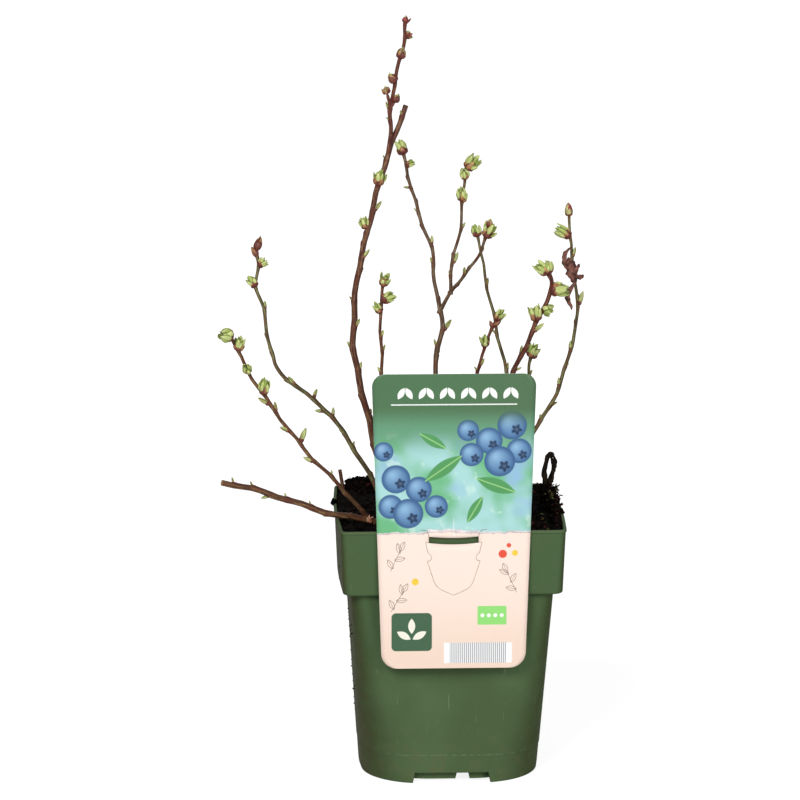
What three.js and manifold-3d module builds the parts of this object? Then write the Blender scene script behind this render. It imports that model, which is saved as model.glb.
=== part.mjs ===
// A young blueberry bush in a square nursery pot, in early spring: bare shoots with opening buds,
// dark peat in the pot, and a card label hooked over the front rim.
// Millimetres, +Z up, +Y to the back. The origin is on the floor, under the middle of the pot.

import * as THREE from "three";
import { mergeVertices } from "three/addons/utils/BufferGeometryUtils.js";
import Module from "manifold-3d";

const wasm = await Module();
wasm.setup();

// ---------------------------------------------------------------- driving dimensions

const WELD_DISTANCE = 1e-4; // corners this close are one corner
const GAP = 0.35; // air between neighbouring pieces
const SPRAY_GAP = 0.45; // air between a limb's end and its spray

const POT_HEIGHT = 153;
const RIM_HALF = 65; // half the width over the rim
const RIM_LIP = 0.5; // how far the rim's edge stands proud of the collar
const RIM_LIP_HEIGHT = 1.6;
const COLLAR_HEIGHT = 38; // the upright band under the rim
const COLLAR_FOOT_HALF = 63.2;
const BODY_TOP_HALF = 58.5;
const BODY_FOOT_HALF = 52;
const WALL = 1.4;
const SMALL_ROUND = 1.3; // rounding of the collar's lower edge and of the foot
const RIM_CORNER = 4; // corner radii in plan, which grow to an almost round foot
const BODY_TOP_CORNER = 9;
const FOOT_CORNER = 37;
const CORNER_POINTS = 6; // points round one corner
const SIDE_POINTS = 3; // points along one side
const RIM_BULGE = 1.8; // the moist peat pushes the walls out, less towards the foot
const FOOT_BULGE = 0.8;
const BULGING_SIDES = [1, 1, 0, 1]; // back, left, front and right: the card holds the front straight
const SEAM_HEIGHT = 17.5; // a fine step round the foot
const SEAM_STEP = 0.25;
const FLOOR_HEIGHT = 7; // air under the pot's floor
const NOTCHED_SIDES = [0, 2]; // front and back: each has a drain notch in the middle of its foot
const NOTCH_TOP_HALF = 21.4;
const NOTCH_FOOT_HALF = 22.8;
const NOTCH_HEIGHT = 6.2;
const SKIRT_HALF = 46.5; // inner skirt, seen through the notches
const SKIRT_CLEARANCE = 1.6; // air under the skirt
const SKIRT_GAP_TOP_HALF = 2.7;
const SKIRT_GAP_FOOT_HALF = 4.1;
const SKIRT_GAP_OFFSET = 6.5; // the gap is a little to one side
const DRAIN_HOLE_RADIUS = 3.6;
const DRAIN_HOLE_RINGS = [[8, 31], [4, 14]]; // number of holes, and the radius of their circle
const BOSS_RADIUS = 6; // the moulding's middle boss, flush with the foot
const PIN_SIDES = 10; // sides of the boss and of a drain hole

const SOIL_FRONT = 147.5; // height of the peat at the front and at the back
const SOIL_BACK = 151.5;
const SOIL_CELLS = 15; // squares along each side of the peat's surface
const SOIL_WAVES = [[19, 0.9], [9, 0.6], [5.3, 0.4]]; // length and height of each set of waves
const SOIL_SPAN = 20; // room above the rim for the mounds
const SOIL_MOUNDS = [ // place, spread and height of each mound
  [-50, 56, 8, 5.5],
  [-38, 60, 5, 3.5],
  [56, 40, 8, 4],
  [-8, 4, 18, 4],
  [36, 62, 9, -3],
];

const CARD_TOP = 244.6;
const CARD_FOOT = 73;
const CARD_TOP_HALF = 46.8;
const CARD_FOOT_HALF = 41.2;
const CARD_THICKNESS = 0.6;
const CARD_TOP_ROUND = 8;
const CARD_FOOT_ROUND = 10;
const CARD_CORNER_POINTS = 6;
const CARD_BACK = -65.7; // the card hangs just in front of the rim
const SLOT_HALF = 14.2;
const SLOT_TOP = 150.4;
const SLOT_FOOT = 146.6;
const HOOK_DEPTH = 15; // how far the card's tongue reaches down inside the pot

const LIMB_SIDES = 6;
const NODE_SPACING = 15; // from one leaf scar to the next along a shoot
const ZIGZAG = 0.5; // how far a shoot swings out at each scar
const BRANCH_COLLAR = 0.3; // extra thickness at the foot of a limb, as a share
const BRANCH_COLLAR_LENGTH = 5;

const SCALE_SIDES = 4;
const SCALE_BELLY = 0.45; // where a bud scale is widest, as a share of its length
const SLIM = 0.38; // width over length of a closed bud and of an outer scale
const PLUMP = 0.6; // width over length of the middle of an opening bud
const BUD_TURN = 35; // degrees that a closed bud may be turned to the front or the back
const BUD_SINK = 0.15; // how far an opening bud starts inside its limb, as a share of its size
const SCALE_LEAN = 26; // degrees that the outer scales lean away from the middle
const OUTER_LENGTH = [0.8, 1.05]; // length of the outer scales, as a share of the bud's size
const STALK_WIDTH = 1.7; // a twig that carries one bud
const LARGE_BUD = 8.5;
const LARGE_SCALES = 4; // outer scales of a large opening bud, and of a small one
const SMALL_SCALES = 3;

// Each limb is led through a few bend points, from its foot to its tip. width is its thickness at the
// foot and at the tip. spray names the bud-bearing end, which starts at that share of the length.
// closed lists the closed buds: place as a share of the length, lean in degrees (minus: on the left),
// and length. open lists the opening buds: place, the side of the limb in degrees (0 right, 90 front,
// 180 left, 270 back), lean in degrees, size, and the length of the twig below the bud, if it has one.
const LIMBS = [
  {
    name: "short_stem", width: [11, 8.4],
    bends: [[-7, 6, 137], [-6, 6, 150], [-3, 5, 162], [-1, 6, 170]],
  },
  {
    name: "tall_shoot", width: [4.2, 3],
    bends: [
      [-31, 2, 140], [-35, 2, 157], [-44, 2, 196], [-53, 3, 235], [-55, 4, 254],
      [-53, 5, 286], [-47.5, 6, 312], [-41, 7, 339], [-35.5, 9, 357], [-24, 14, 388],
    ],
    closed: [
      [0.27, 18, 4], [0.38, 24, 4.4], [0.43, -29, 4.5], [0.48, 26, 5.2], [0.54, -42, 3],
      [0.64, 24, 5.7], [0.75, 22, 6.2], [0.87, -50, 2.4], [0.975, -37, 3],
    ],
    open: [[0.81, 115, 18, 10], [0.7, 180, 30, 7.7, 2]],
  },
  {
    name: "tall_leader", width: [2.4, 1.9], spray: ["tall_spray", 0],
    bends: [[-34, 9, 363], [-33, 8, 376], [-33, 8, 386], [-30, 6, 407], [-26, 6, 421], [-25, 6, 437]],
    closed: [[0.23, -40, 2.4], [0.31, -30, 4.3], [0.96, 40, 4]],
    open: [
      [1, 20, 8, 4.6], [0.89, 5, 64, 5.2], [0.72, 100, 22, 6.5], [0.53, 170, 18, 7],
      [0.33, 180, 20, 6, 6.5], [0.32, 10, 24, 5, 4.5],
    ],
  },
  {
    name: "left_green_shoot", width: [3.1, 1.8], spray: ["left_green_spray", 0.77],
    bends: [
      [-33, -6, 140], [-38, -8, 158], [-49, -4, 179], [-64, 2, 202], [-73, 6, 212], [-97, 14, 231],
      [-103, 20, 244], [-107, 27, 266], [-111, 32, 279], [-110, 36, 291], [-111, 40, 300],
    ],
    closed: [
      [0.29, 41, 3], [0.34, -14, 3], [0.4, 44, 5], [0.43, -43, 5.5], [0.48, 70, 5.7],
      [0.55, 12, 5.6], [0.68, -12, 2.6], [0.81, 14, 4.9],
    ],
    open: [[1, 20, 27, 9.5], [0.99, 180, 14, 6.5], [0.95, 0, 55, 7.4], [0.885, 180, 30, 8.2]],
  },
  {
    name: "low_cut_shoot", width: [3.8, 3.4],
    bends: [
      [-29, -16, 140], [-36, -22, 148], [-47, -28, 152], [-69, -33, 157],
      [-93, -38, 166], [-111, -42, 173], [-132, -48, 179],
    ],
    closed: [[0.53, 60, 2.6], [0.66, 60, 2.6], [0.74, -49, 5.2], [0.84, 60, 3], [0.94, 64, 3.4]],
  },
  {
    name: "outer_left_shoot", width: [2.4, 1.9], spray: ["outer_left_spray", 0.6],
    bends: [
      [-47, -28, 152], [-63, -32, 172], [-81, -38, 192], [-96.5, -44, 213],
      [-115, -50, 241.5], [-126.5, -56, 266],
    ],
    closed: [
      [0.25, 40, 3], [0.35, -20, 6.2], [0.45, 58, 7.8], [0.52, -24, 6], [0.62, 28, 5.3], [0.66, -22, 7],
    ],
    open: [[1, 150, 22, 9.5], [0.93, 15, 43, 9], [0.83, 80, 50, 7], [0.705, 15, 41, 11.2]],
  },
  {
    name: "short_left_shoot", width: [2.2, 1.7], spray: ["short_left_spray", 0.78],
    bends: [[-41, 3, 182], [-38.5, -4, 200], [-39, -12, 235], [-40, -20, 270], [-39, -24, 289]],
    closed: [[0.51, -24, 3.7], [0.63, 20, 3.8], [0.71, 16, 4.4]],
    open: [[1, 30, 20, 8.6], [0.92, 5, 68, 9], [0.85, 180, 40, 7.3]],
  },
  {
    name: "forked_shoot", width: [3.3, 2.7],
    bends: [[-2, 6, 161], [-6, 8, 192], [-7, 10, 232], [-3, 12, 258], [-4, 12, 269]],
    closed: [[0.75, 18, 2.8], [0.79, -31, 4.2], [0.88, 32, 7.2]],
  },
  {
    name: "fork_left_bough", width: [2.3, 1.8], spray: ["fork_left_spray", 0.86],
    bends: [[-4, 12, 268], [-7, 16, 283], [-8, 22, 300], [-13.5, 28, 316], [-20, 36, 337], [-24, 42, 356]],
    closed: [[0.29, -18, 3.8], [0.41, 23, 4.8], [0.63, -22, 2.7], [0.79, -75, 3.8]],
    open: [[1, 170, 8, 9.8], [0.93, 10, 78, 6.3]],
  },
  {
    name: "fork_right_bough", width: [2.2, 2],
    bends: [[-4, 12, 268], [-1, 10, 274], [2, 8, 280]],
  },
  {
    name: "fork_middle_bough", width: [1.9, 1.6], spray: ["fork_middle_spray", 0.68],
    bends: [[2, 8, 280], [2, 8, 293], [7, 6, 316], [9, 2, 342], [10.5, 1, 353]],
    closed: [[0.13, -16, 2.6], [0.22, 16, 6.6], [0.51, 25, 3.8]],
    open: [[1, 20, 16, 11.5], [0.92, 120, 32, 7.6], [0.74, 165, 14, 8.4], [0.73, 15, 14, 6.8]],
  },
  {
    name: "fork_outer_bough", width: [1.9, 1.7], spray: ["fork_outer_spray", 0.62],
    bends: [[2, 8, 280], [11, -2, 293], [17, -8, 303], [21, -12, 315]],
    closed: [[0.36, -30, 4.9]],
    open: [[1, 30, 12, 10.8], [0.95, 180, 20, 7]],
  },
  {
    name: "middle_green_shoot", width: [2.6, 1.6], spray: ["middle_green_spray", 0.88],
    bends: [
      [-1, 8, 160], [14, 16, 167], [32, 26, 182], [39, 32, 208], [32, 44, 247], [26, 54, 275], [21, 62, 304],
    ],
    closed: [[0.53, 20, 4.4], [0.66, -29, 3.4], [0.83, 21, 4.2]],
    open: [[1, 170, 8, 8.2]],
  },
  {
    name: "short_right_shoot", width: [2.3, 1.7], spray: ["short_right_spray", 0.79],
    bends: [[1, 2, 162], [8, -12, 204], [16, -24, 237], [19, -30, 253], [26, -36, 271]],
    closed: [[0.7, -43, 3], [0.73, 16, 4.7]],
    open: [[1, 45, 10, 8], [0.96, 0, 30, 6], [0.95, 180, 46, 4.6], [0.84, 175, 22, 7.6]],
  },
  {
    name: "dark_right_shoot", width: [3.3, 2.4], spray: ["dark_right_spray", 0.77],
    bends: [[2, 5, 163], [25, 0, 200], [38, -4, 234], [47, -8, 255], [59, -10, 284], [57, -12, 294]],
    closed: [[0.56, 50, 3.8], [0.63, -18, 4.9], [0.67, 12, 3], [0.74, 26, 7]],
    open: [
      [1, 165, 26, 12], [0.985, 10, 34, 4.8], [0.92, 0, 68, 12], [0.84, 30, 84, 7.6], [0.785, 180, 34, 10.4],
    ],
  },
  {
    name: "right_green_shoot", width: [3, 1.6], spray: ["right_green_spray", 0.85],
    bends: [
      [8, 12, 140], [14, 14, 157], [41, 18, 181], [64, 22, 214],
      [77, 28, 256], [77, 32, 275], [74.5, 38, 299], [73.5, 42, 319],
    ],
    closed: [
      [0.39, -36, 3], [0.44, 35, 4], [0.5, -24, 4.7], [0.56, 20, 2.4],
      [0.61, -16, 5], [0.74, 25, 7.6], [0.88, 22, 5.6],
    ],
    open: [[1, 90, 6, 7.6], [0.945, 180, 70, 11.4]],
  },
  {
    name: "stubby_shoot", width: [2, 1.8], spray: ["stubby_spray", 0.62],
    bends: [[49, 19.5, 191], [48, 14, 229], [49, 12, 240]],
    closed: [[0.77, 24, 3.2]],
    open: [[1, 20, 20, 10]],
  },
  {
    name: "cut_stub", width: [2.4, 2.1],
    bends: [[-58, 45, 145], [-60, 46, 154], [-62, 48, 166]],
  },
  {
    name: "withered_shoot", width: [2.6, 1.8],
    bends: [
      [59, 51, 144], [61.5, 53, 155], [61.5, 54, 166],
      [63.5, 54, 174], [66, 53, 169], [64.5, 52, 160],
    ],
  },
];

// A withered leaf hangs beside the right green shoot, from its stalk down to its tip.
const DEAD_LEAF_BENDS = [[73, 36, 298], [73, 32, 290], [75.5, 26, 278], [73.5, 23, 264]];
const DEAD_LEAF_WIDTH = 8.5;
const DEAD_LEAF_STALK = 0.12; // narrowest share of the width
const DEAD_LEAF_THICKNESS = 0.6;
const DEAD_LEAF_CELLS = [4, 8]; // cells across it and along it
const DEAD_LEAF_CURL = 2.2; // depth of its trough
const DEAD_LEAF_TURN = [-0.6, 0.9]; // radians that it is turned at its stalk and at its tip

const COLOURS = {
  pot: 0x48603f, peat: 0x17100c, card: 0xfbe8d8,
  red_bark: 0x5c3028, green_bark: 0x6a6434, bud: 0xa3bd5e, dead: 0x3a2417,
};

// ---------------------------------------------------------------- solids and meshes

/** A solid from its points and its triangles. */
function manifoldFrom(points, triangles) {
  return new wasm.Manifold(new wasm.Mesh({
    numProp: 3,
    vertProperties: new Float32Array(points),
    triVerts: new Uint32Array(triangles),
  }));
}

/** A closed geometry as a solid: shared corners merged, empty triangles dropped, faces outwards. */
function toSolid(geometry) {
  const bare = geometry.clone();
  bare.deleteAttribute("normal");
  bare.deleteAttribute("uv");
  const merged = mergeVertices(bare, WELD_DISTANCE);
  const triangles = [];
  for (let i = 0; i < merged.index.count; i += 3) {
    const [a, b, c] = [0, 1, 2].map((corner) => merged.index.getX(i + corner));
    if (a !== b && b !== c && c !== a) triangles.push(a, b, c);
  }
  const points = merged.attributes.position.array;
  const solid = manifoldFrom(points, triangles);
  return solid.volume() > 0 ? solid : manifoldFrom(points, triangles.reverse());
}

/** A solid as a named mesh of one colour. */
function toMesh(name, solid, colour, roughness) {
  const mesh = solid.getMesh();
  const geometry = new THREE.BufferGeometry();
  geometry.setAttribute("position", new THREE.BufferAttribute(mesh.vertProperties, 3));
  geometry.setIndex(new THREE.BufferAttribute(mesh.triVerts, 1));
  geometry.computeVertexNormals();
  const material = new THREE.MeshStandardMaterial({ color: colour, roughness, metalness: 0 });
  const object = new THREE.Mesh(geometry, material);
  object.name = name;
  return object;
}

const join = (solids) => solids.reduce((whole, solid) => whole.add(solid));

/** The largest piece of a solid, without the scraps that a cut leaves. */
const mainPiece = (solid) => solid.decompose().reduce((a, b) => (a.volume() > b.volume() ? a : b));

/** A seeded source of numbers from 0 to 1. */
function seeded(seed) {
  let state = seed;
  return () => {
    state = (state * 1664525 + 1013904223) % 4294967296;
    return state / 4294967296;
  };
}

// ---------------------------------------------------------------- pot and peat

/** One corner of a ring: an arc that starts at the quarter's own direction. */
function cornerPoint(ring, quarter, share) {
  const middle = (quarter + 0.5) * Math.PI / 2;
  const angle = (quarter + share) * Math.PI / 2;
  const reach = ring.half - ring.corner;
  const x = Math.sign(Math.cos(middle)) * reach + ring.corner * Math.cos(angle);
  const y = Math.sign(Math.sin(middle)) * reach + ring.corner * Math.sin(angle);
  return new THREE.Vector2(x, y);
}

/** A point on a ring's outline: round each corner in turn, then along the side that follows it. */
function outlinePoint(ring, column) {
  const perQuarter = CORNER_POINTS + SIDE_POINTS;
  const quarter = Math.floor(column / perQuarter);
  const step = column % perQuarter;
  if (step < CORNER_POINTS) return cornerPoint(ring, quarter, step / (CORNER_POINTS - 1));
  const share = (step - CORNER_POINTS + 1) / (SIDE_POINTS + 1);
  const point = cornerPoint(ring, quarter, 1).lerp(cornerPoint(ring, quarter + 1, 0), share);
  const outward = new THREE.Vector2(0, 1).rotateAround(new THREE.Vector2(), quarter * Math.PI / 2);
  return point.addScaledVector(outward, ring.bulge * BULGING_SIDES[quarter] * Math.sin(Math.PI * share));
}

/** A ring of the pot at a height: half its width, its corner radius, and how far its sides bulge. */
function ringAt(height, half, corner) {
  const share = THREE.MathUtils.clamp(height / POT_HEIGHT, 0, 1);
  const bulge = THREE.MathUtils.lerp(FOOT_BULGE, RIM_BULGE, share);
  return { height, half, corner, bulge };
}

/** A solid through a stack of rings, closed flat at the bottom and the top. */
function squareLoft(rings) {
  const heights = [rings[0], ...rings, rings.at(-1)].map((ring) => new THREE.Vector2(1, ring.height));
  const columns = 4 * (CORNER_POINTS + SIDE_POINTS);
  const geometry = new THREE.LatheGeometry(heights, columns);
  const position = geometry.attributes.position;
  for (let i = 0; i < position.count; i += 1) {
    const ring = rings[(i % heights.length) - 1];
    const column = Math.floor(i / heights.length) % columns;
    const { x, y } = ring ? outlinePoint(ring, column) : new THREE.Vector2();
    position.setXYZ(i, x, y, position.getY(i));
  }
  return toSolid(geometry);
}

const collarFoot = POT_HEIGHT - COLLAR_HEIGHT;

/** Half width of the body's outside at a height below the collar. */
const bodyHalf = (height) => THREE.MathUtils.lerp(BODY_FOOT_HALF, BODY_TOP_HALF, height / collarFoot);
const bodyCorner = (height) => THREE.MathUtils.lerp(FOOT_CORNER, BODY_TOP_CORNER, height / collarFoot);

/** The rings of the space inside the pot, drawn in by a distance. */
function insideRings(inset, top) {
  const floorTop = FLOOR_HEIGHT + WALL + inset;
  const shoulder = collarFoot + WALL + inset;
  const inner = WALL + inset;
  return [
    ringAt(floorTop, bodyHalf(floorTop) - inner, bodyCorner(floorTop) - inner),
    ringAt(shoulder, BODY_TOP_HALF - inner, BODY_TOP_CORNER - inner),
    ringAt(shoulder + SMALL_ROUND, COLLAR_FOOT_HALF - inner, RIM_CORNER + SMALL_ROUND - inner),
    ringAt(POT_HEIGHT, RIM_HALF - RIM_LIP - inner, RIM_CORNER - inner),
    ringAt(top, RIM_HALF - RIM_LIP - inner, RIM_CORNER - inner),
  ];
}

/** An upright opening through one side of the foot, wider at the floor than at its top. */
function sideOpening(footHalf, topHalf, height, offset, turns) {
  const outline = new THREE.Shape([
    new THREE.Vector2(-footHalf, -1),
    new THREE.Vector2(footHalf, -1),
    new THREE.Vector2(footHalf, 0),
    new THREE.Vector2(topHalf, height),
    new THREE.Vector2(-topHalf, height),
    new THREE.Vector2(-footHalf, 0),
  ]);
  const geometry = new THREE.ExtrudeGeometry(outline, { depth: BODY_FOOT_HALF, bevelEnabled: false });
  geometry.rotateX(Math.PI / 2);
  geometry.translate(offset, -SKIRT_HALF + 2 * WALL, 0);
  geometry.rotateZ(turns * Math.PI / 2);
  return toSolid(geometry);
}

/** A round pin through the pot's floor. */
function floorPin(radius, bottom, top, x, y) {
  const geometry = new THREE.CylinderGeometry(radius, radius, top - bottom, PIN_SIDES);
  geometry.rotateX(Math.PI / 2);
  geometry.translate(x, y, (top + bottom) / 2);
  return toSolid(geometry);
}

function makePot() {
  const footHalf = BODY_FOOT_HALF - SEAM_STEP;
  const seamTop = SEAM_HEIGHT + SEAM_STEP;
  const lipFoot = POT_HEIGHT - RIM_LIP_HEIGHT;
  const collarHalf = RIM_HALF - RIM_LIP;
  const collarCorner = RIM_CORNER + SMALL_ROUND;
  const outside = squareLoft([
    ringAt(0, footHalf - SMALL_ROUND, FOOT_CORNER - SMALL_ROUND),
    ringAt(SMALL_ROUND, bodyHalf(SMALL_ROUND) - SEAM_STEP, FOOT_CORNER),
    ringAt(SEAM_HEIGHT, bodyHalf(SEAM_HEIGHT) - SEAM_STEP, bodyCorner(SEAM_HEIGHT)),
    ringAt(seamTop, bodyHalf(seamTop), bodyCorner(seamTop)),
    ringAt(collarFoot, BODY_TOP_HALF, BODY_TOP_CORNER),
    ringAt(collarFoot, COLLAR_FOOT_HALF - SMALL_ROUND, collarCorner),
    ringAt(collarFoot + SMALL_ROUND, COLLAR_FOOT_HALF, collarCorner),
    ringAt(lipFoot, collarHalf, RIM_CORNER),
    ringAt(lipFoot + RIM_LIP, RIM_HALF, RIM_CORNER),
    ringAt(POT_HEIGHT, RIM_HALF, RIM_CORNER),
  ]);
  const underFloor = squareLoft([
    ringAt(-1, footHalf - SMALL_ROUND - WALL, FOOT_CORNER - SMALL_ROUND - WALL),
    ringAt(FLOOR_HEIGHT, footHalf - WALL, FOOT_CORNER - WALL),
  ]);
  const skirtTop = FLOOR_HEIGHT + WALL / 2;
  const skirtCorner = FOOT_CORNER - 2 * WALL;
  const skirtOutside = squareLoft([
    ringAt(SKIRT_CLEARANCE, SKIRT_HALF, skirtCorner),
    ringAt(skirtTop, SKIRT_HALF, skirtCorner),
  ]);
  const skirtInside = squareLoft([
    ringAt(0, SKIRT_HALF - WALL, skirtCorner - WALL),
    ringAt(skirtTop, SKIRT_HALF - WALL, skirtCorner - WALL),
  ]);
  let skirt = skirtOutside.subtract(skirtInside);
  let shell = outside.subtract(squareLoft(insideRings(0, POT_HEIGHT + 1))).subtract(underFloor);
  for (let turns = 0; turns < 4; turns += 1) {
    const gap = sideOpening(SKIRT_GAP_FOOT_HALF, SKIRT_GAP_TOP_HALF, FLOOR_HEIGHT, SKIRT_GAP_OFFSET, turns);
    skirt = skirt.subtract(gap);
  }
  for (const turns of NOTCHED_SIDES) {
    shell = shell.subtract(sideOpening(NOTCH_FOOT_HALF, NOTCH_TOP_HALF, NOTCH_HEIGHT, 0, turns));
  }
  let pot = join([shell, skirt, floorPin(BOSS_RADIUS, 0, skirtTop, 0, 0)]);
  for (const [count, circle] of DRAIN_HOLE_RINGS) {
    for (let i = 0; i < count; i += 1) {
      const angle = (i + 0.5) * 2 * Math.PI / count;
      const [x, y] = [circle * Math.cos(angle), circle * Math.sin(angle)];
      pot = pot.subtract(floorPin(DRAIN_HOLE_RADIUS, FLOOR_HEIGHT - 1, FLOOR_HEIGHT + 2 * WALL, x, y));
    }
  }
  return pot;
}

/** Height of the peat's surface: a gentle rise to the back, mounds, and waves of three sizes. */
function soilHeight(x, y) {
  let height = THREE.MathUtils.lerp(SOIL_FRONT, SOIL_BACK, (y + RIM_HALF) / (2 * RIM_HALF));
  for (const [moundX, moundY, spread, rise] of SOIL_MOUNDS) {
    height += rise * Math.exp(-((x - moundX) ** 2 + (y - moundY) ** 2) / (2 * spread ** 2));
  }
  for (const [size, rise] of SOIL_WAVES) {
    height += rise * Math.sin((2 * x + y) / size) * Math.cos((2 * y - x) / size);
  }
  return height;
}

function makeSoil() {
  const side = 2 * RIM_HALF;
  const geometry = new THREE.BoxGeometry(side, side, POT_HEIGHT, SOIL_CELLS, SOIL_CELLS, 1);
  const position = geometry.attributes.position;
  for (let i = 0; i < position.count; i += 1) {
    const [x, y] = [position.getX(i), position.getY(i)];
    position.setZ(i, position.getZ(i) > 0 ? soilHeight(x, y) : 0);
  }
  return toSolid(geometry).intersect(squareLoft(insideRings(GAP, POT_HEIGHT + SOIL_SPAN)));
}

// ---------------------------------------------------------------- card label

/** The card's outline: a tall trapezium with rounded corners, and the slot across its middle. */
function cardOutline() {
  const slant = (CARD_TOP_HALF - CARD_FOOT_HALF) / (CARD_TOP - CARD_FOOT);
  const outline = new THREE.Shape();
  outline.moveTo(-CARD_FOOT_HALF + CARD_FOOT_ROUND, CARD_FOOT);
  outline.lineTo(CARD_FOOT_HALF - CARD_FOOT_ROUND, CARD_FOOT);
  const footSide = CARD_FOOT_HALF + slant * CARD_FOOT_ROUND;
  outline.quadraticCurveTo(CARD_FOOT_HALF, CARD_FOOT, footSide, CARD_FOOT + CARD_FOOT_ROUND);
  const topSide = CARD_TOP_HALF - slant * CARD_TOP_ROUND;
  outline.lineTo(topSide, CARD_TOP - CARD_TOP_ROUND);
  outline.quadraticCurveTo(CARD_TOP_HALF, CARD_TOP, CARD_TOP_HALF - CARD_TOP_ROUND, CARD_TOP);
  outline.lineTo(-CARD_TOP_HALF + CARD_TOP_ROUND, CARD_TOP);
  outline.quadraticCurveTo(-CARD_TOP_HALF, CARD_TOP, -topSide, CARD_TOP - CARD_TOP_ROUND);
  outline.lineTo(-footSide, CARD_FOOT + CARD_FOOT_ROUND);
  outline.quadraticCurveTo(-CARD_FOOT_HALF, CARD_FOOT, -CARD_FOOT_HALF + CARD_FOOT_ROUND, CARD_FOOT);
  outline.holes.push(new THREE.Path([
    new THREE.Vector2(-SLOT_HALF, SLOT_FOOT),
    new THREE.Vector2(-SLOT_HALF, SLOT_TOP),
    new THREE.Vector2(SLOT_HALF, SLOT_TOP),
    new THREE.Vector2(SLOT_HALF, SLOT_FOOT),
  ]));
  return outline;
}

/** The tongue folded out of the card: back over the rim, then down inside the pot's front wall. */
function makeHook() {
  const under = POT_HEIGHT + GAP;
  const top = under + CARD_THICKNESS;
  const foot = top - HOOK_DEPTH;
  const wallFace = -RIM_HALF + RIM_LIP + WALL + GAP;
  const slant = (RIM_HALF - RIM_LIP - COLLAR_FOOT_HALF) * HOOK_DEPTH / COLLAR_HEIGHT;
  const outline = new THREE.Shape([
    new THREE.Vector2(CARD_BACK - CARD_THICKNESS / 2, under),
    new THREE.Vector2(wallFace, under),
    new THREE.Vector2(wallFace + slant, foot),
    new THREE.Vector2(wallFace + slant + CARD_THICKNESS, foot),
    new THREE.Vector2(wallFace + CARD_THICKNESS, top),
    new THREE.Vector2(CARD_BACK - CARD_THICKNESS / 2, top),
  ]);
  const geometry = new THREE.ExtrudeGeometry(outline, { depth: 2 * SLOT_HALF, bevelEnabled: false });
  geometry.translate(0, 0, -SLOT_HALF);
  const across = new THREE.Vector3(1, 0, 0);
  const back = new THREE.Vector3(0, 1, 0);
  const up = new THREE.Vector3(0, 0, 1);
  geometry.applyMatrix4(new THREE.Matrix4().makeBasis(back, up, across));
  return toSolid(geometry);
}

function makeCard() {
  const options = { depth: CARD_THICKNESS, bevelEnabled: false, curveSegments: CARD_CORNER_POINTS };
  const sheet = new THREE.ExtrudeGeometry(cardOutline(), options);
  sheet.rotateX(Math.PI / 2);
  sheet.translate(0, CARD_BACK, 0);
  return toSolid(sheet).add(makeHook());
}

// ---------------------------------------------------------------- limbs and buds

/** A limb's middle line: a smooth curve through its bends, swung left and right at each scar. */
class LimbLine {
  constructor(limb) {
    const bends = limb.bends.map((bend) => new THREE.Vector3(...bend));
    this.limb = limb;
    this.curve = new THREE.CatmullRomCurve3(bends, false, "catmullrom", 0.5);
    this.length = this.curve.getLength();
    this.swing = limb.closed ? ZIGZAG : 0;
  }

  /** The place, direction and two cross directions at a distance from the foot. */
  frame(distance) {
    const share = THREE.MathUtils.clamp(distance / this.length, 0, 1);
    const along = this.curve.getTangentAt(share);
    const right = new THREE.Vector3(0, 1, 0).cross(along).normalize();
    const front = new THREE.Vector3().crossVectors(right, along);
    const fromEnd = Math.max(Math.min(distance, this.length - distance, NODE_SPACING), 0);
    const wave = Math.asin(Math.sin(Math.PI * distance / NODE_SPACING)) * 2 / Math.PI;
    const place = this.curve.getPointAt(share);
    place.addScaledVector(right, this.swing * wave * fromEnd / NODE_SPACING);
    return { place, along, right, front };
  }

  /** Half the limb's thickness: an even taper, with a collar at the foot. */
  radius(distance) {
    const taper = THREE.MathUtils.lerp(...this.limb.width, distance / this.length) / 2;
    return taper * (1 + BRANCH_COLLAR * Math.exp(-distance / BRANCH_COLLAR_LENGTH));
  }

  /** The outward direction on one side of the limb. */
  outward(distance, degrees) {
    const { right, front } = this.frame(distance);
    const angle = THREE.MathUtils.degToRad(degrees);
    return right.multiplyScalar(Math.cos(angle)).addScaledVector(front, Math.sin(angle));
  }
}

/** The wood of a limb between two distances, with a ring at each scar and halfway between scars. */
function limbWood(line, from, to, grow) {
  const half = NODE_SPACING / 2;
  const stops = [from];
  for (let stop = Math.ceil((from + 1) / half) * half; stop < to - 1; stop += half) {
    stops.push(stop);
  }
  stops.push(to);
  const last = stops.length - 1;
  const geometry = new THREE.CylinderGeometry(1, 1, 1, LIMB_SIDES, last);
  const position = geometry.attributes.position;
  for (let i = 0; i < position.count; i += 1) {
    const ring = Math.round((position.getY(i) + 0.5) * last);
    const { place, along, right, front } = line.frame(stops[ring]);
    const radius = line.radius(stops[ring]) + grow;
    place.addScaledVector(right, position.getX(i) * radius);
    place.addScaledVector(front, position.getZ(i) * radius);
    if (ring === 0) place.addScaledVector(along, -grow);
    if (ring === last) place.addScaledVector(along, grow);
    position.setXYZ(i, place.x, place.y, place.z);
  }
  return toSolid(geometry);
}

const LATHE_AXIS = new THREE.Vector3(0, 1, 0);

/** A pointed scale from its foot along a direction. */
function scale(foot, direction, length, slimness, grow) {
  const profile = [
    new THREE.Vector2(0, -grow),
    new THREE.Vector2(length * slimness / 2 + grow, length * SCALE_BELLY),
    new THREE.Vector2(0, length + 2 * grow),
  ];
  const geometry = new THREE.LatheGeometry(profile, SCALE_SIDES);
  geometry.applyQuaternion(new THREE.Quaternion().setFromUnitVectors(LATHE_AXIS, direction));
  geometry.translate(foot.x, foot.y, foot.z);
  return toSolid(geometry);
}

/** The direction that leans away from another by some degrees. */
function leaning(along, outward, degrees) {
  const angle = THREE.MathUtils.degToRad(degrees);
  return along.clone().multiplyScalar(Math.cos(angle)).addScaledVector(outward, Math.sin(angle)).normalize();
}

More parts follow.
